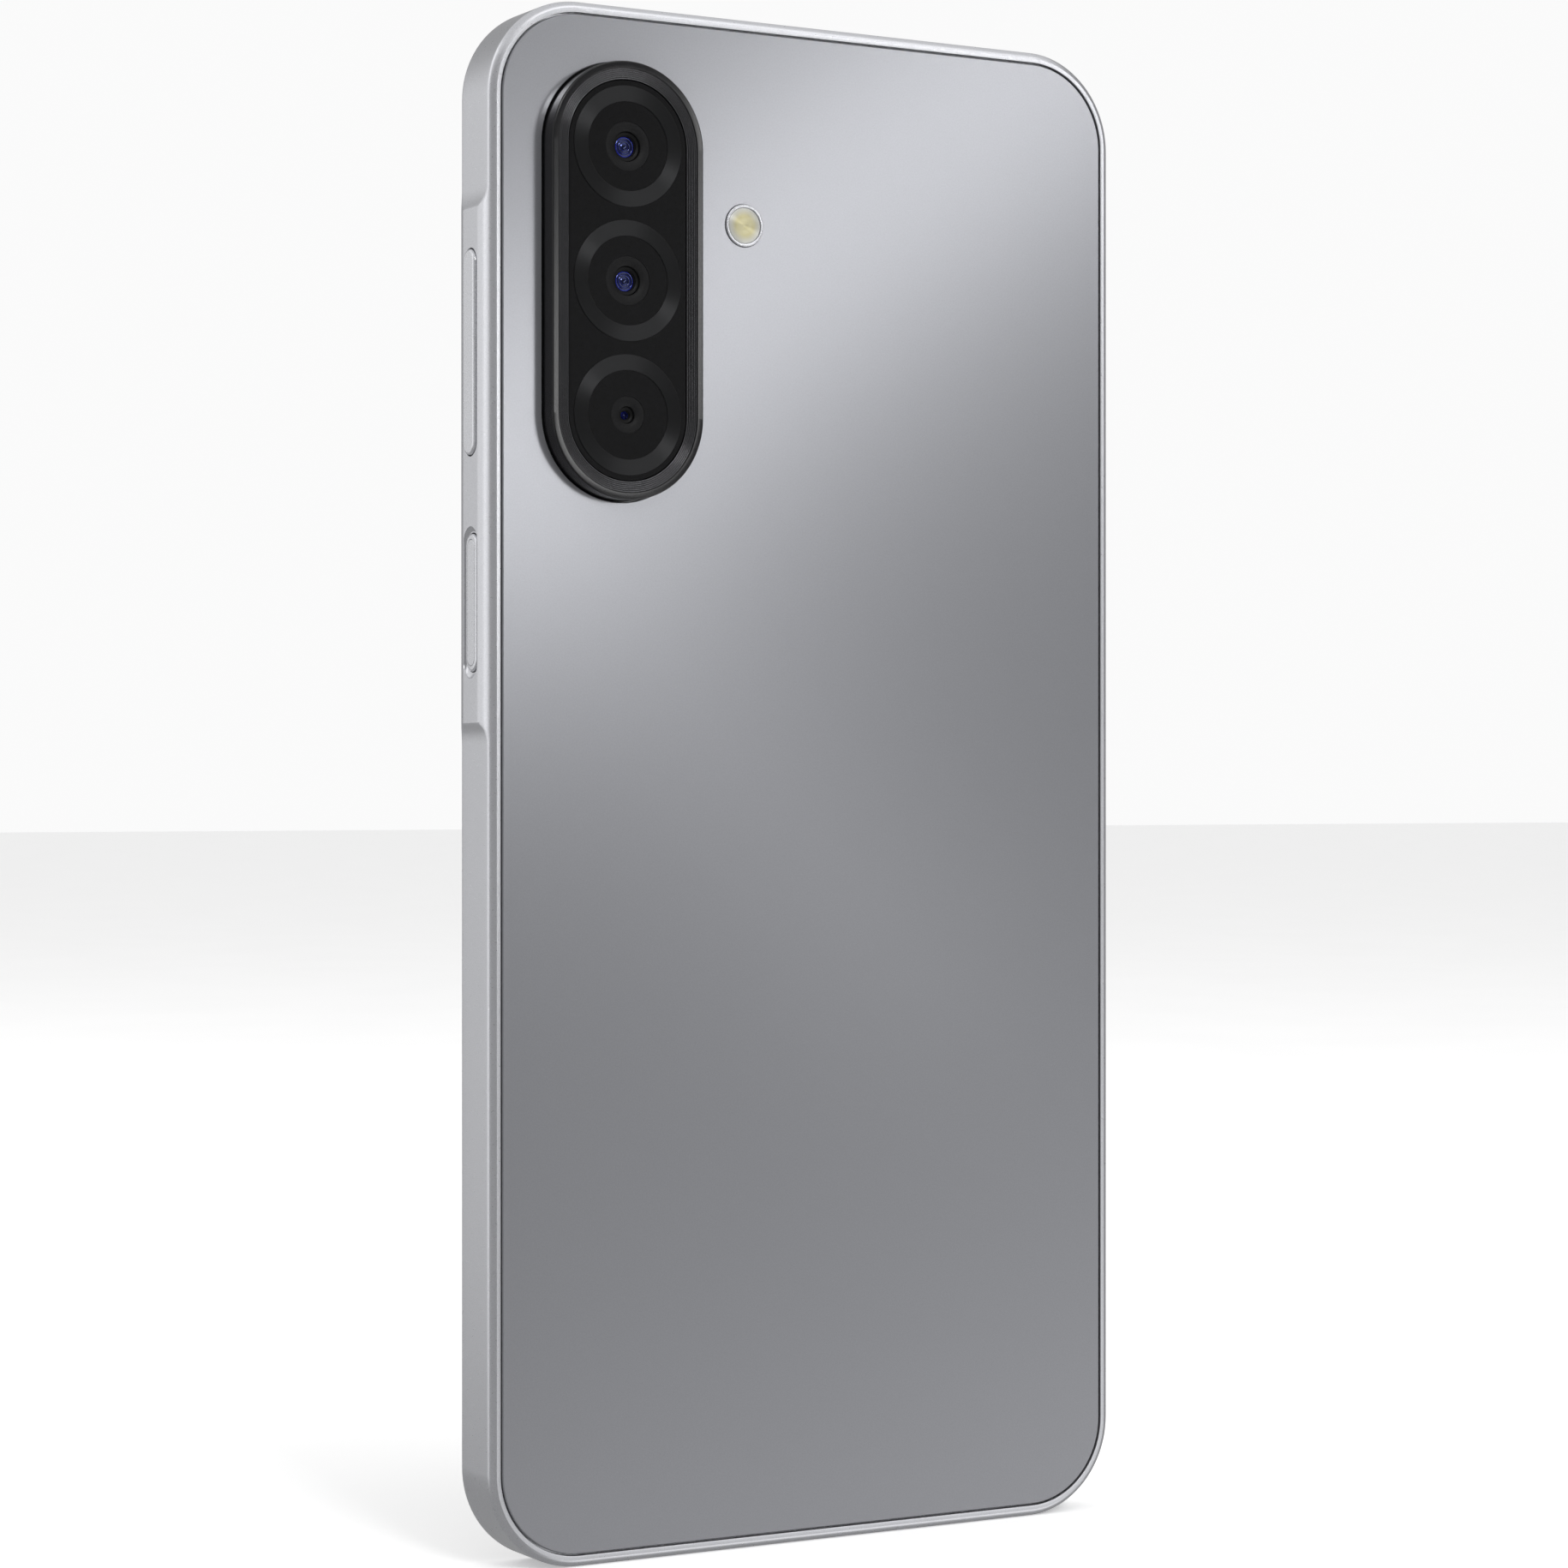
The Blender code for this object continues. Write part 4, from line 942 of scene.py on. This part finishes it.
class SMARTPHONE_OT_camera_bezel(bpy.types.Operator):
    """Builds the island's black ring: a tall glossy wall, a rounded edge, a flat lip and a stepped seat"""

    bl_idname = "smartphone.camera_bezel"
    bl_label = "Camera bezel"

    def execute(self, context):
        sizes = settings("island")
        x, _, v = middle("camera_bezel")
        outer, lip, window = sizes.radius, sizes.lip_radius, sizes.window_radius
        top = -ISLAND_HEIGHT
        flange, inner, opening, edge = 9.7, 7.9, 6.3, 0.16
        section = [(flange, 1.3), (flange, 0.8), (outer, 0.8), (outer, 0.05)]
        section += rounded_corner((outer - edge, top + edge), edge, 0, -90, 7)
        section += stepped(lip, top, ((0.05, 0.0), (0.0, 0.04), (-0.02, 0.12)))
        section += [(window + 0.07, SEAT_DEPTH), (window + 0.05, -1.0), (opening, -0.95)]
        section += [(opening, -0.75), (inner, -0.75), (inner, 1.3)]
        loops = [along_depth(island_outline(radius), depth, (x, v)) for radius, depth in section]
        piece = new_object("island_ring", skin(loops, ring=True))
        look = glossy_black("island_black", settings("colours").island, 0.14, 0.35)
        settle(piece, look, "housing", ["camera_bezel"])
        self.ridges(x, v)
        return {"FINISHED"}

    def ridges(self, x, v):
        """Fine round ridges that step down from the lip to the window."""
        sizes = settings("island")
        first, last = sizes.lip_radius - 0.14, sizes.window_radius + 0.14
        pitch = (first - last) / (sizes.ridges - 1)
        bead = pitch * 0.46
        lengths = {"Width": 2 * first, "Height": 2 * (first + LENS_PITCH), "Corner": first - 0.05}
        lengths.update({"Pitch": pitch, "Drop": 0.012, "Bead": bead})
        values = {name: value * MM for name, value in lengths.items()}
        look = dark_metal("ridge_metal", settings("colours").ridge)
        values.update({"Count": sizes.ridges, "Steps": 40, "Material": look})
        place = Matrix.Translation(millimetres((x, SEAT_TOP + bead, v)))
        turn = place @ Matrix.Rotation(math.pi / 2, 4, "X")
        grow("island_ridges", nested_beads_tree(), values, turn)


SEAT_DEPTH = -1.93
RING_TOP = -2.035
RING_BASE = -1.955
FUNNEL_TOP = -1.92
HOOD_FRONT = -1.45
HOOD_BACK = -0.7
LENS_FRONT = -1.16
FLASH_TOP = -0.24
FLASH_RING_WIDTH = 0.33
SEAT_TOP = -2.13
WINDOW_TOP = -1.95
APERTURES = {"top": 2.60, "middle": 2.60, "bottom": 1.97}


class SMARTPHONE_OT_camera_window(bpy.types.Operator):
    """Builds the island's black window with an opening over each camera"""

    bl_idname = "smartphone.camera_window"
    bl_label = "Camera window"

    def execute(self, context):
        sizes = settings("island")
        x, _, v = middle("camera_window")
        outer = sizes.window_radius
        stations = ((outer - 0.04, WINDOW_TOP), (outer, WINDOW_TOP + 0.04), (outer, -1.15))
        loops = [along_depth(island_outline(radius), depth, (x, v)) for radius, depth in stations]
        piece = new_object("island_window", skin(loops))
        holes = bmesh.new()
        for where, radius in APERTURES.items():
            centre = (x, middle("lens_ring_" + where)[2])
            top = WINDOW_TOP + 0.02
            profile = ((0, -3.0), (radius + 0.02, -3.0), (radius, top), (radius, -0.5), (0, -0.5))
            turned(profile, centre, into=holes)
        carve(piece, holes)
        look = glossy_black("window_black", settings("colours").window, 0.30, 0.06)
        settle(piece, look, "housing", ["camera_window"])
        return {"FINISHED"}


def around_uv(piece, centre):
    """A UV map that runs round the centre (x, v) along U and outwards along V."""
    layer = piece.data.uv_layers.new(name="around")
    for loop in piece.data.loops:
        point = piece.data.vertices[loop.vertex_index].co / MM
        across, up = point.x - centre[0], point.z - CENTRE_V - centre[1]
        turns = math.atan2(up, across) / (2 * math.pi) + 0.5
        layer.data[loop.index].uv = (turns, math.hypot(across, up) / 10)
    return piece


class SMARTPHONE_OT_lens_rings(bpy.types.Operator):
    """Builds the spun trim ring round each lens"""

    bl_idname = "smartphone.lens_rings"
    bl_label = "Lens rings"

    def execute(self, context):
        sizes = settings("island")
        inner, outer = sizes.ring_inner, sizes.ring_outer
        section = [(outer, RING_BASE)] + stepped(outer, RING_TOP, ((0.0, 0.03), (-0.03, 0.0)))
        section += stepped(inner, RING_TOP, ((0.05, 0.0), (0.01, 0.03))) + [(inner, RING_BASE)]
        for where in APERTURES:
            x, _, v = middle("lens_ring_" + where)
            piece = new_object("ring_" + where, turned_ring(section, (x, v), 160))
            around_uv(piece, (x, v))
            look = spun_metal("spun_ring_" + where, settings("colours").ring, (x, v))
            settle(piece, look, "housing", ["lens_ring_" + where])
        return {"FINISHED"}


class SMARTPHONE_OT_cameras(bpy.types.Operator):
    """Builds the stepped barrel, baffle rings and coated lens of each camera"""

    bl_idname = "smartphone.cameras"
    bl_label = "Cameras"

    def execute(self, context):
        for name, where, eye in CAMERAS:
            x, _, v = middle("lens_ring_" + where)
            body = "main_lens_carrier" if name == "main_camera" else "housing"
            self.funnel(name, where, eye, (x, v))
            self.barrel(name, eye, (x, v), body)
            self.lens(name, eye, (x, v), body)
        return {"FINISHED"}

    def funnel(self, name, where, eye, centre):
        """The blackened funnel that stands still between the window and the barrel."""
        outer = APERTURES[where] - 0.01
        section = stepped(outer, FUNNEL_TOP, ((0.0, 0.015), (-0.06, 0.0)))
        section += stepped(eye + 0.5, FUNNEL_TOP, ((0.08, 0.16), (0.0, 0.22), (0.0, 0.6)))
        section.append((outer, FUNNEL_TOP + 0.6))
        piece = new_object(name + "_funnel", turned_ring(section, centre, 96))
        look = matte_black(name + "_funnel_black", (0.0065, 0.0065, 0.0068), 0.45)
        settle(piece, look, "housing")

    def barrel(self, name, eye, centre, body):
        """The barrel round the lens, stepped down to it."""
        node = name + "_barrel"
        _, depth, _ = middle(node)
        end = depth + extent(node)[1] / 2
        outer = extent(node)[0] / 2
        steps = ((0.03, 0.26), (0.12, 0.2), (0.14, 0.08), (0.3, 0.02), (0.42, 0.0), (0.46, 0.04))
        section = [(0, HOOD_BACK), (eye + 0.02, HOOD_BACK)] + stepped(eye, HOOD_FRONT, steps)
        section += [(eye + 0.46, HOOD_BACK), (outer, HOOD_BACK + 0.08), (outer, end), (0, end)]
        piece = new_object(name + "_hood", turned(section, centre, 72))
        look = matte_black(name + "_hood_black", (0.004, 0.004, 0.0042), 0.38)
        settle(piece, look, body, [node])

    def lens(self, name, eye, centre, body):
        """Domed elements, one seen through the next."""
        outer = ((0.995, 0.4), (0.995, 0.06), (0.90, 0.0), (0.80, 0.03), (0.72, 0.10))
        inner = ((0.62, 0.04), (0.50, 0.02), (0.42, 0.09), (0.32, 0.05), (0.18, 0.02))
        domes = [(eye * part, LENS_FRONT + back) for part, back in outer + inner]
        profile = [(0, LENS_FRONT + 0.4)] + domes + [(0, LENS_FRONT + 0.01)]
        piece = new_object(name + "_glass", turned(profile, centre, 64))
        look = coated_lens(name + "_coating", centre, eye)
        settle(piece, look, body, [name + "_lens"], 50.0)


CAMERAS = (
    ("ultra_wide_camera", "top", 1.10),
    ("main_camera", "middle", 1.07),
    ("macro_camera", "bottom", 0.42),
)


class SMARTPHONE_OT_flash(bpy.types.Operator):
    """Builds the flash: a turned metal ring round a shallow grooved dish"""

    bl_idname = "smartphone.flash"
    bl_label = "Flash"

    def execute(self, context):
        x, _, v = middle("flash_bezel")
        outer = settings("island").flash_radius
        inner = outer - FLASH_RING_WIDTH
        section = [(outer, 0.7)] + stepped(outer, FLASH_TOP, ((0.0, 0.08), (-0.03, 0.02), (-0.10, 0.0)))
        section += stepped(inner, FLASH_TOP, ((0.10, 0.0), (0.02, 0.05))) + [(inner, 0.1), (inner, 0.7)]
        ring = new_object("flash_ring", turned_ring(section, (x, v), 96))
        settle(ring, polished_key(), "housing", ["flash_bezel"])
        reach = inner - 0.03
        section = [(0, 0.55), (reach, 0.55), (reach, FLASH_TOP + 0.10), (reach * 0.9, FLASH_TOP + 0.03)]
        section += [(0.25, FLASH_TOP + 0.12), (0, FLASH_TOP + 0.13)]
        piece = new_object("flash_dish", turned(section, (x, v), 96))
        around_uv(piece, (x, v))
        settle(piece, flash_cream((x, v)), "housing", ["flash_lens"], 60.0)
        return {"FINISHED"}


# ---------------------------------------------------------------- keys, tray and port


FLANGE_X = (-36.9, -36.5)
FLANGE_LIP = 0.3
FOOT_X = -36.7
FOOT_RADIUS = 0.7
SENSOR_POCKET = (1.77, 13.27)
SENSOR = (1.68, 13.18)


def key_cap(node, bevel, feet, reach):
    """A key's cap with a rounded bevel, the flange behind it and a foot at each height, out to reach."""
    v = middle(node)[2]
    stations = [(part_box(node)[0][0] / MM + rise, -out) for rise, out in quarter_round(bevel, 6)]
    stations += [(FLANGE_X[0], 0.0), (FLANGE_X[0], FLANGE_LIP), (FLANGE_X[1], FLANGE_LIP)]
    solid = slot_loft(along_width, (KEY_WIDTH, KEY_LENGTHS[node]), stations, (MID_DEPTH, v))
    cap = new_object(node + "_cap", solid)
    made = bmesh.new()
    for up in feet:
        place = (MID_DEPTH, v + up)
        skin([along_width(circle(FOOT_RADIUS, 24), x, place) for x in (FOOT_X, reach)], into=made)
    return carve(cap, made, "UNION")


class SMARTPHONE_OT_keys(bpy.types.Operator):
    """Builds the volume key, and the power key with its fingerprint sensor"""

    bl_idname = "smartphone.keys"
    bl_label = "Keys"

    def execute(self, context):
        volume = key_cap("volume_key", 0.30, (5.2, -5.2), -36.15)
        settle(volume, polished_key(), "volume_key", ["volume_key"])

        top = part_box("power_key")[0][0] / MM
        place = (MID_DEPTH, middle("power_key")[2])
        power = key_cap("power_key", 0.26, (0.0,), -36.3)
        stations = ((top - 0.5, 0.0), (top + 0.3, 0.0))
        carve(power, slot_loft(along_width, SENSOR_POCKET, stations, place))
        settle(power, polished_key(), "power_key", ["power_key"])

        stations = ((top - 0.015, -0.03), (top + 0.01, 0.0), (top + 0.25, 0.0))
        sensor = new_object("sensor_pad", slot_loft(along_width, SENSOR, stations, place))
        settle(sensor, polished_key(), "power_key", ["fingerprint_sensor"])
        return {"FINISHED"}


TRAY_WIDTH = 2.5
PLATE_HEIGHT = 23.2
# Each card's pocket in the tray: x, height from the tray's middle, width and height.
CARDS = ((28.8, 6.0, 12.4, 8.9), (28.9, -5.1, 14.6, 11.0))


class SMARTPHONE_OT_card_tray(bpy.types.Operator):
    """Builds the slide-out card tray with its pockets and pin hole"""

    bl_idname = "smartphone.card_tray"
    bl_label = "Card tray"

    def execute(self, context):
        _, depth, v = middle("sim_tray")
        tall = extent("sim_tray")[2]
        side = BODY_WIDTH / 2
        back, neck = side - 0.8, -0.375
        stations = [(side - rise, -out) for rise, out in quarter_round(0.1, 5)]
        stations += [(back, 0.0), (back, neck), (back - 0.9, neck)]
        piece = new_object("card_tray", slot_loft(along_width, (TRAY_WIDTH, tall), stations, (depth, v)))
        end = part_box("sim_tray")[0][0] / MM
        long = side - 1.2 - end
        outline = rounded_rect(long, PLATE_HEIGHT, 1.0)
        plate = [along_depth(outline, depth + rise, (end + long / 2, v)) for rise in (-0.45, 0.45)]
        carve(piece, skin(plate), "UNION")
        carve(piece, self.pockets(v, 0.0, 0.8, (depth - 1, depth + 0.15)))
        windows = self.pockets(v, 1.6, 0.5, (depth - 1, depth + 1))
        low = v - tall / 2 + 2.0
        pin_hole = circle(0.45, 32)
        skin([along_width(pin_hole, x, (depth, low)) for x in (side - 1.5, side + 0.5)], into=windows)
        carve(piece, windows)
        settle(piece, painted_metal(), "sim_tray", ["sim_tray"])
        return {"FINISHED"}

    def pockets(self, v, shrink, corner, depths):
        """A cutter for each card between two depths, smaller than its pocket by shrink."""
        made = bmesh.new()
        for x, up, wide, tall in CARDS:
            outline = rounded_rect(wide - shrink, tall - shrink, corner, 8)
            skin([along_depth(outline, depth, (x, v + up)) for depth in depths], into=made)
        return made


PORT_SHELL = (8.94, 3.2)
PORT_SHELL_ENDS = (-81.6, -74.5)
TONGUE = (6.7, 0.7)


class SMARTPHONE_OT_port(bpy.types.Operator):
    """Builds the port's drawn shell, its tongue and contacts, and the mesh behind the loudspeaker slots"""

    bl_idname = "smartphone.port"
    bl_label = "Port"

    def execute(self, context):
        (bottom, top), wall = PORT_SHELL_ENDS, 0.3
        mouth = ((wall, 0.14), (0.24, 0.03), (0.15, 0.0), (0.08, 0.02), (0.0, 0.1))
        stations = [(top - 0.6, -wall)] + [(bottom + rise, -inset) for inset, rise in mouth] + [(top, 0.0)]
        shell = new_object("port_shell", slot_loft(along_height, PORT_SHELL, stations, (0, MID_DEPTH)))
        settle(shell, brushed_metal("port_steel", STEEL, 0.25), "housing", ["usb_port_shell"])
        loops = []
        for v, out in ((bottom + 0.5, 0.12), (bottom + 0.62, 0.0), (top - 0.7, 0.0)):
            outline = rounded_rect(TONGUE[0] - 2 * out, TONGUE[1] - 2 * out, 0.2, 6)
            loops.append(along_height(outline, v, (0, MID_DEPTH)))
        tongue = new_object("port_tongue", skin(loops))
        settle(tongue, matte_black("tongue_black"), "housing", ["usb_port_tongue"])
        self.contacts(bottom + 2.6)
        self.speaker_mesh()
        return {"FINISHED"}

    def contacts(self, v):
        """Twelve gilt contacts on each side of the tongue."""
        look = brushed_metal("contact_gold", (0.75, 0.53, 0.22), 0.3)
        pad = (0.25, 0.05, 3.2)
        for name, depth in (("rear", MID_DEPTH - 0.37), ("front", MID_DEPTH + 0.37)):
            block_row("contacts_" + name, 12, (-2.75, depth, v), (0.5, 0.0, 0.0), pad, look)

    def speaker_mesh(self):
        """Crossed fine wires just inside the loudspeaker's slots."""
        look = brushed_metal("speaker_wire", (0.12, 0.12, 0.125), 0.45)
        low, high = min(SPEAKER_SLOTS) - 1.0, max(SPEAKER_SLOTS) + 1.0
        pitch, wire, v = 0.22, 0.09, -BODY_HEIGHT / 2 + 1.9
        start, size = ((low + high) / 2, MID_DEPTH - 0.55, v), (high - low, wire, wire)
        block_row("speaker_wires_long", 6, start, (0.0, pitch, 0.0), size, look)
        number = int((high - low) / pitch)
        start, size = (low + 0.1, MID_DEPTH, v + wire), (wire, 1.3, wire)
        block_row("speaker_wires_short", number, start, (pitch, 0.0, 0.0), size, look)


# ---------------------------------------------------------------- pieces that keep their shape

KEPT = {
    "steel": [
        "ultra_wide_camera_housing", "main_camera_housing", "macro_camera_housing", "volume_up_switch",
        "volume_down_switch", "power_switch", "sim_reader", "processor_shield", "radio_shield",
        "bottom_microphone", "vibration_motor_case", "vibration_motor_base", "front_camera_housing",
        "earpiece_receiver",
    ] + [f"screw_{index}" for index in range(1, 7)],
    "alloy": ["mid_plate", "vibration_motor_rotor"],
    "board": ["main_board", "sub_board"],
    "wrap": ["battery"],
    "flex": ["side_key_flex", "main_flex_cable"],
    "copper": ["nfc_antenna"],
    "rubber": ["sim_tray_seal"],
    "black": [
        "earpiece_mesh", "rear_cover_adhesive", "display_adhesive", "camera_window_mask",
        "upper_bracket", "speaker_box", "front_camera_barrel",
    ],
    "panel": ["display_panel"],
    "led": ["flash_led"],
}


class SMARTPHONE_OT_inner_parts(bpy.types.Operator):
    """Gives the parts inside the phone their finishes"""

    bl_idname = "smartphone.inner_parts"
    bl_label = "Inner parts"

    def execute(self, context):
        looks = {
            "steel": brushed_metal("inner_steel", STEEL),
            "alloy": brushed_metal("inner_alloy", (0.45, 0.45, 0.47), 0.5, (1.0, 1.0, 1.0)),
            "board": circuit_board(),
            "wrap": foil_wrap(),
            "flex": flex_film(),
            "copper": brushed_metal("coil_copper", (0.72, 0.35, 0.2), 0.3),
            "rubber": rubber(),
            "black": matte_black("inner_black"),
            "panel": glossy_black("panel_black", (0.006, 0.006, 0.008), 0.2),
            "led": flash_cream(middle("flash_led")[::2]),
        }
        for kind, nodes in KEPT.items():
            for node in nodes:
                mesh = frame["nodes"][node].data
                mesh.materials.clear()
                mesh.materials.append(looks[kind])
        return {"FINISHED"}


# ---------------------------------------------------------------- stage


def area_light(name, place, turn, size, strength):
    """A rectangular light of that size in millimetres, at a place in metres, with that turn."""
    data = bpy.data.lights.new(name, "AREA")
    data.shape = "RECTANGLE"
    data.size, data.size_y = size[0] * MM, size[1] * MM
    data.energy = strength * data.size * data.size_y
    made = add_object(name, data)
    made.location = place
    made.rotation_euler = turn.to_euler()


def soft_light(name, place, target, size, strength):
    """A rectangular light at place, in millimetres, that faces target."""
    turn = (Vector(target) - Vector(place)).to_track_quat("-Z", "Y")
    area_light(name, Vector(place) * MM, turn, size, strength)


def mirrored_place(studio, x, v, reach):
    """The place that the camera sees mirrored at the rear cover's point (x, v), reach millimetres off."""
    eye = Vector((studio.camera_x, -studio.camera_depth, 0.0))
    point = Vector((x, 0.0, v))
    return point + (point - eye).normalized() * reach


def strip_light(name, studio, ends, width, strength):
    """A long light that the rear cover mirrors to the camera as a band between two points (x, v)."""
    first, last = (mirrored_place(studio, x, v, STRIP_REACH) for x, v in ends)
    along = last - first
    centre = (first + last) / 2
    inward = -centre.normalized()
    across = inward.cross(along).normalized()
    long_axis = across.cross(inward).normalized()
    turn = Matrix((long_axis, -across, -inward)).transposed()
    area_light(name, millimetres(centre), turn, (along.length, width), strength)


def floor_material():
    """Pale matte paper, faintly mottled."""
    look = Look("pale_floor").set(roughness=0.9, specular_ior_level=0.1)
    look.set(emission_color=(1.0, 1.0, 1.0), emission_strength=0.25)
    mottle = look.ramp(look.noise(0.02, 3.0), 0.3, 0.7)
    look.colour(look.mix(mottle, (0.93, 0.93, 0.93), (0.95, 0.95, 0.95)))
    return look.material


STRIP_REACH = 1000
BAND_ENDS = ((-62, 16), (72, 115))
CROSS_ENDS = ((-52, 50), (16, -25))
BACKDROP_LEVEL = 0.96
SURROUNDINGS_LEVEL = 0.34
OVERHEAD_LEVEL = 1.0
OVERHEAD_SPREAD = 100
FLOOR_REACH = 6.0
LOW_GLOW_SIDE = (0.62, -0.55, -0.56)
LOW_GLOW_REACH = (0.80, 0.95)
LOW_GLOW_LEVEL = 1.3


class SMARTPHONE_OT_stage(bpy.types.Operator):
    """Sets the floor, the surroundings, the soft lights and the camera"""

    bl_idname = "smartphone.stage"
    bl_label = "Stage"

    def execute(self, context):
        studio = settings("studio")
        self.floor()
        self.surroundings(studio.sky)
        target = (0.0, 0.0, CENTRE_V)
        soft_light("wall_light", (-740, 515, 350), target, (1050, 1050), 2.6 * studio.key_light)
        soft_light("key_light", (-900, -30, 380), target, (430, 1300), 3.6 * studio.key_light)
        soft_light("fill_light", (350, -620, 900), target, (900, 900), 3.6 * studio.fill_light)
        strip_light("band_light", studio, BAND_ENDS, 90, 16.5 * studio.band_light)
        soft_light("spark_light", (-75, -800, 530), (0, 0, 0), (190, 190), 60.0 * studio.band_light)
        strip_light("cross_light", studio, CROSS_ENDS, 14, 16.0 * studio.band_light)
        self.overhead(studio.sky)
        self.camera(studio)
        context.scene.view_settings.view_transform = "Standard"
        return {"FINISHED"}

    def floor(self):
        """A broad pale sheet under the phone."""
        made = bmesh.new()
        bmesh.ops.create_grid(made, x_segments=24, y_segments=24, size=FLOOR_REACH)
        mesh = bpy.data.meshes.new("floor")
        made.to_mesh(mesh)
        made.free()
        mesh.materials.append(floor_material())
        floor = add_object("floor", mesh)
        floor.location.z = -0.00002
        floor.visible_glossy = False

    def surroundings(self, strength):
        """Even surroundings with a soft glow low on the right: white to look at, dimmer as a light."""
        world = bpy.data.worlds.new("surroundings")
        world.use_nodes = True
        nodes = Nodes(world.node_tree)
        direction = nodes.node("ShaderNodeTexCoord").outputs["Generated"]
        slant = nodes.node("ShaderNodeVectorMath", {0: direction, 1: LOW_GLOW_SIDE}, operation="DOT_PRODUCT")
        low, high = SURROUNDINGS_LEVEL * strength, (SURROUNDINGS_LEVEL + LOW_GLOW_LEVEL) * strength
        glow = nodes.ramp(slant.outputs["Value"], *LOW_GLOW_REACH, low, high)
        seen = nodes.node("ShaderNodeLightPath").outputs["Is Camera Ray"]
        background = world.node_tree.nodes["Background"]
        nodes.feed(background.inputs["Color"], (1.0, 1.0, 1.0))
        level = nodes.ramp(seen, 0.0, 1.0, glow, BACKDROP_LEVEL, "LINEAR")
        nodes.feed(background.inputs["Strength"], level)
        bpy.context.scene.world = world

    def overhead(self, strength):
        """Even light from straight above, so soft that only the phone's foot has a shadow."""
        data = bpy.data.lights.new("overhead", "SUN")
        data.energy = OVERHEAD_LEVEL * strength
        data.angle = math.radians(OVERHEAD_SPREAD)
        add_object("overhead", data)

    def camera(self, studio):
        """The camera, level with the middle of the phone."""
        data = bpy.data.cameras.new("camera")
        data.sensor_width = 36.0
        data.lens = studio.lens
        data.clip_start = 0.01
        camera = add_object("camera", data)
        camera.location = millimetres((studio.camera_x, studio.camera_depth, 0.0))
        camera.rotation_euler = (math.pi / 2, 0.0, -math.radians(studio.turn))
        bpy.context.scene.camera = camera


# ---------------------------------------------------------------- panel and registration

OPERATORS = (
    SMARTPHONE_OT_stage,
    SMARTPHONE_OT_side_frame,
    SMARTPHONE_OT_rear_cover,
    SMARTPHONE_OT_display,
    SMARTPHONE_OT_camera_bezel,
    SMARTPHONE_OT_camera_window,
    SMARTPHONE_OT_lens_rings,
    SMARTPHONE_OT_cameras,
    SMARTPHONE_OT_flash,
    SMARTPHONE_OT_keys,
    SMARTPHONE_OT_card_tray,
    SMARTPHONE_OT_port,
    SMARTPHONE_OT_inner_parts,
)
GROUPS = {"body": BodySizes, "island": IslandSizes, "colours": Colours, "studio": Studio}


class SMARTPHONE_PT_panel(bpy.types.Panel):
    """Lists the pieces and the values that shape them"""

    bl_idname = "SMARTPHONE_PT_panel"
    bl_label = "Smartphone"
    bl_space_type = "VIEW_3D"
    bl_region_type = "UI"
    bl_category = "Smartphone"

    def draw(self, context):
        for operator in OPERATORS:
            self.layout.operator(operator.bl_idname)
        for name, group in GROUPS.items():
            box = self.layout.box()
            box.label(text=name.title())
            for key in group.__annotations__:
                box.prop(settings(name), key)


def register():
    for group in GROUPS.values():
        bpy.utils.register_class(group)
    for name, group in GROUPS.items():
        setattr(bpy.types.Scene, "phone_" + name, bpy.props.PointerProperty(type=group))
    for operator in OPERATORS:
        bpy.utils.register_class(operator)
    bpy.utils.register_class(SMARTPHONE_PT_panel)


def unregister():
    bpy.utils.unregister_class(SMARTPHONE_PT_panel)
    for operator in reversed(OPERATORS):
        bpy.utils.unregister_class(operator)
    for name, group in GROUPS.items():
        delattr(bpy.types.Scene, "phone_" + name)
        bpy.utils.unregister_class(group)


def main():
    """Registers the add-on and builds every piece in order."""
    register()
    for operator in OPERATORS:
        category, action = operator.bl_idname.split(".")
        getattr(getattr(bpy.ops, category), action)()


if __name__ == "__main__":
    main()
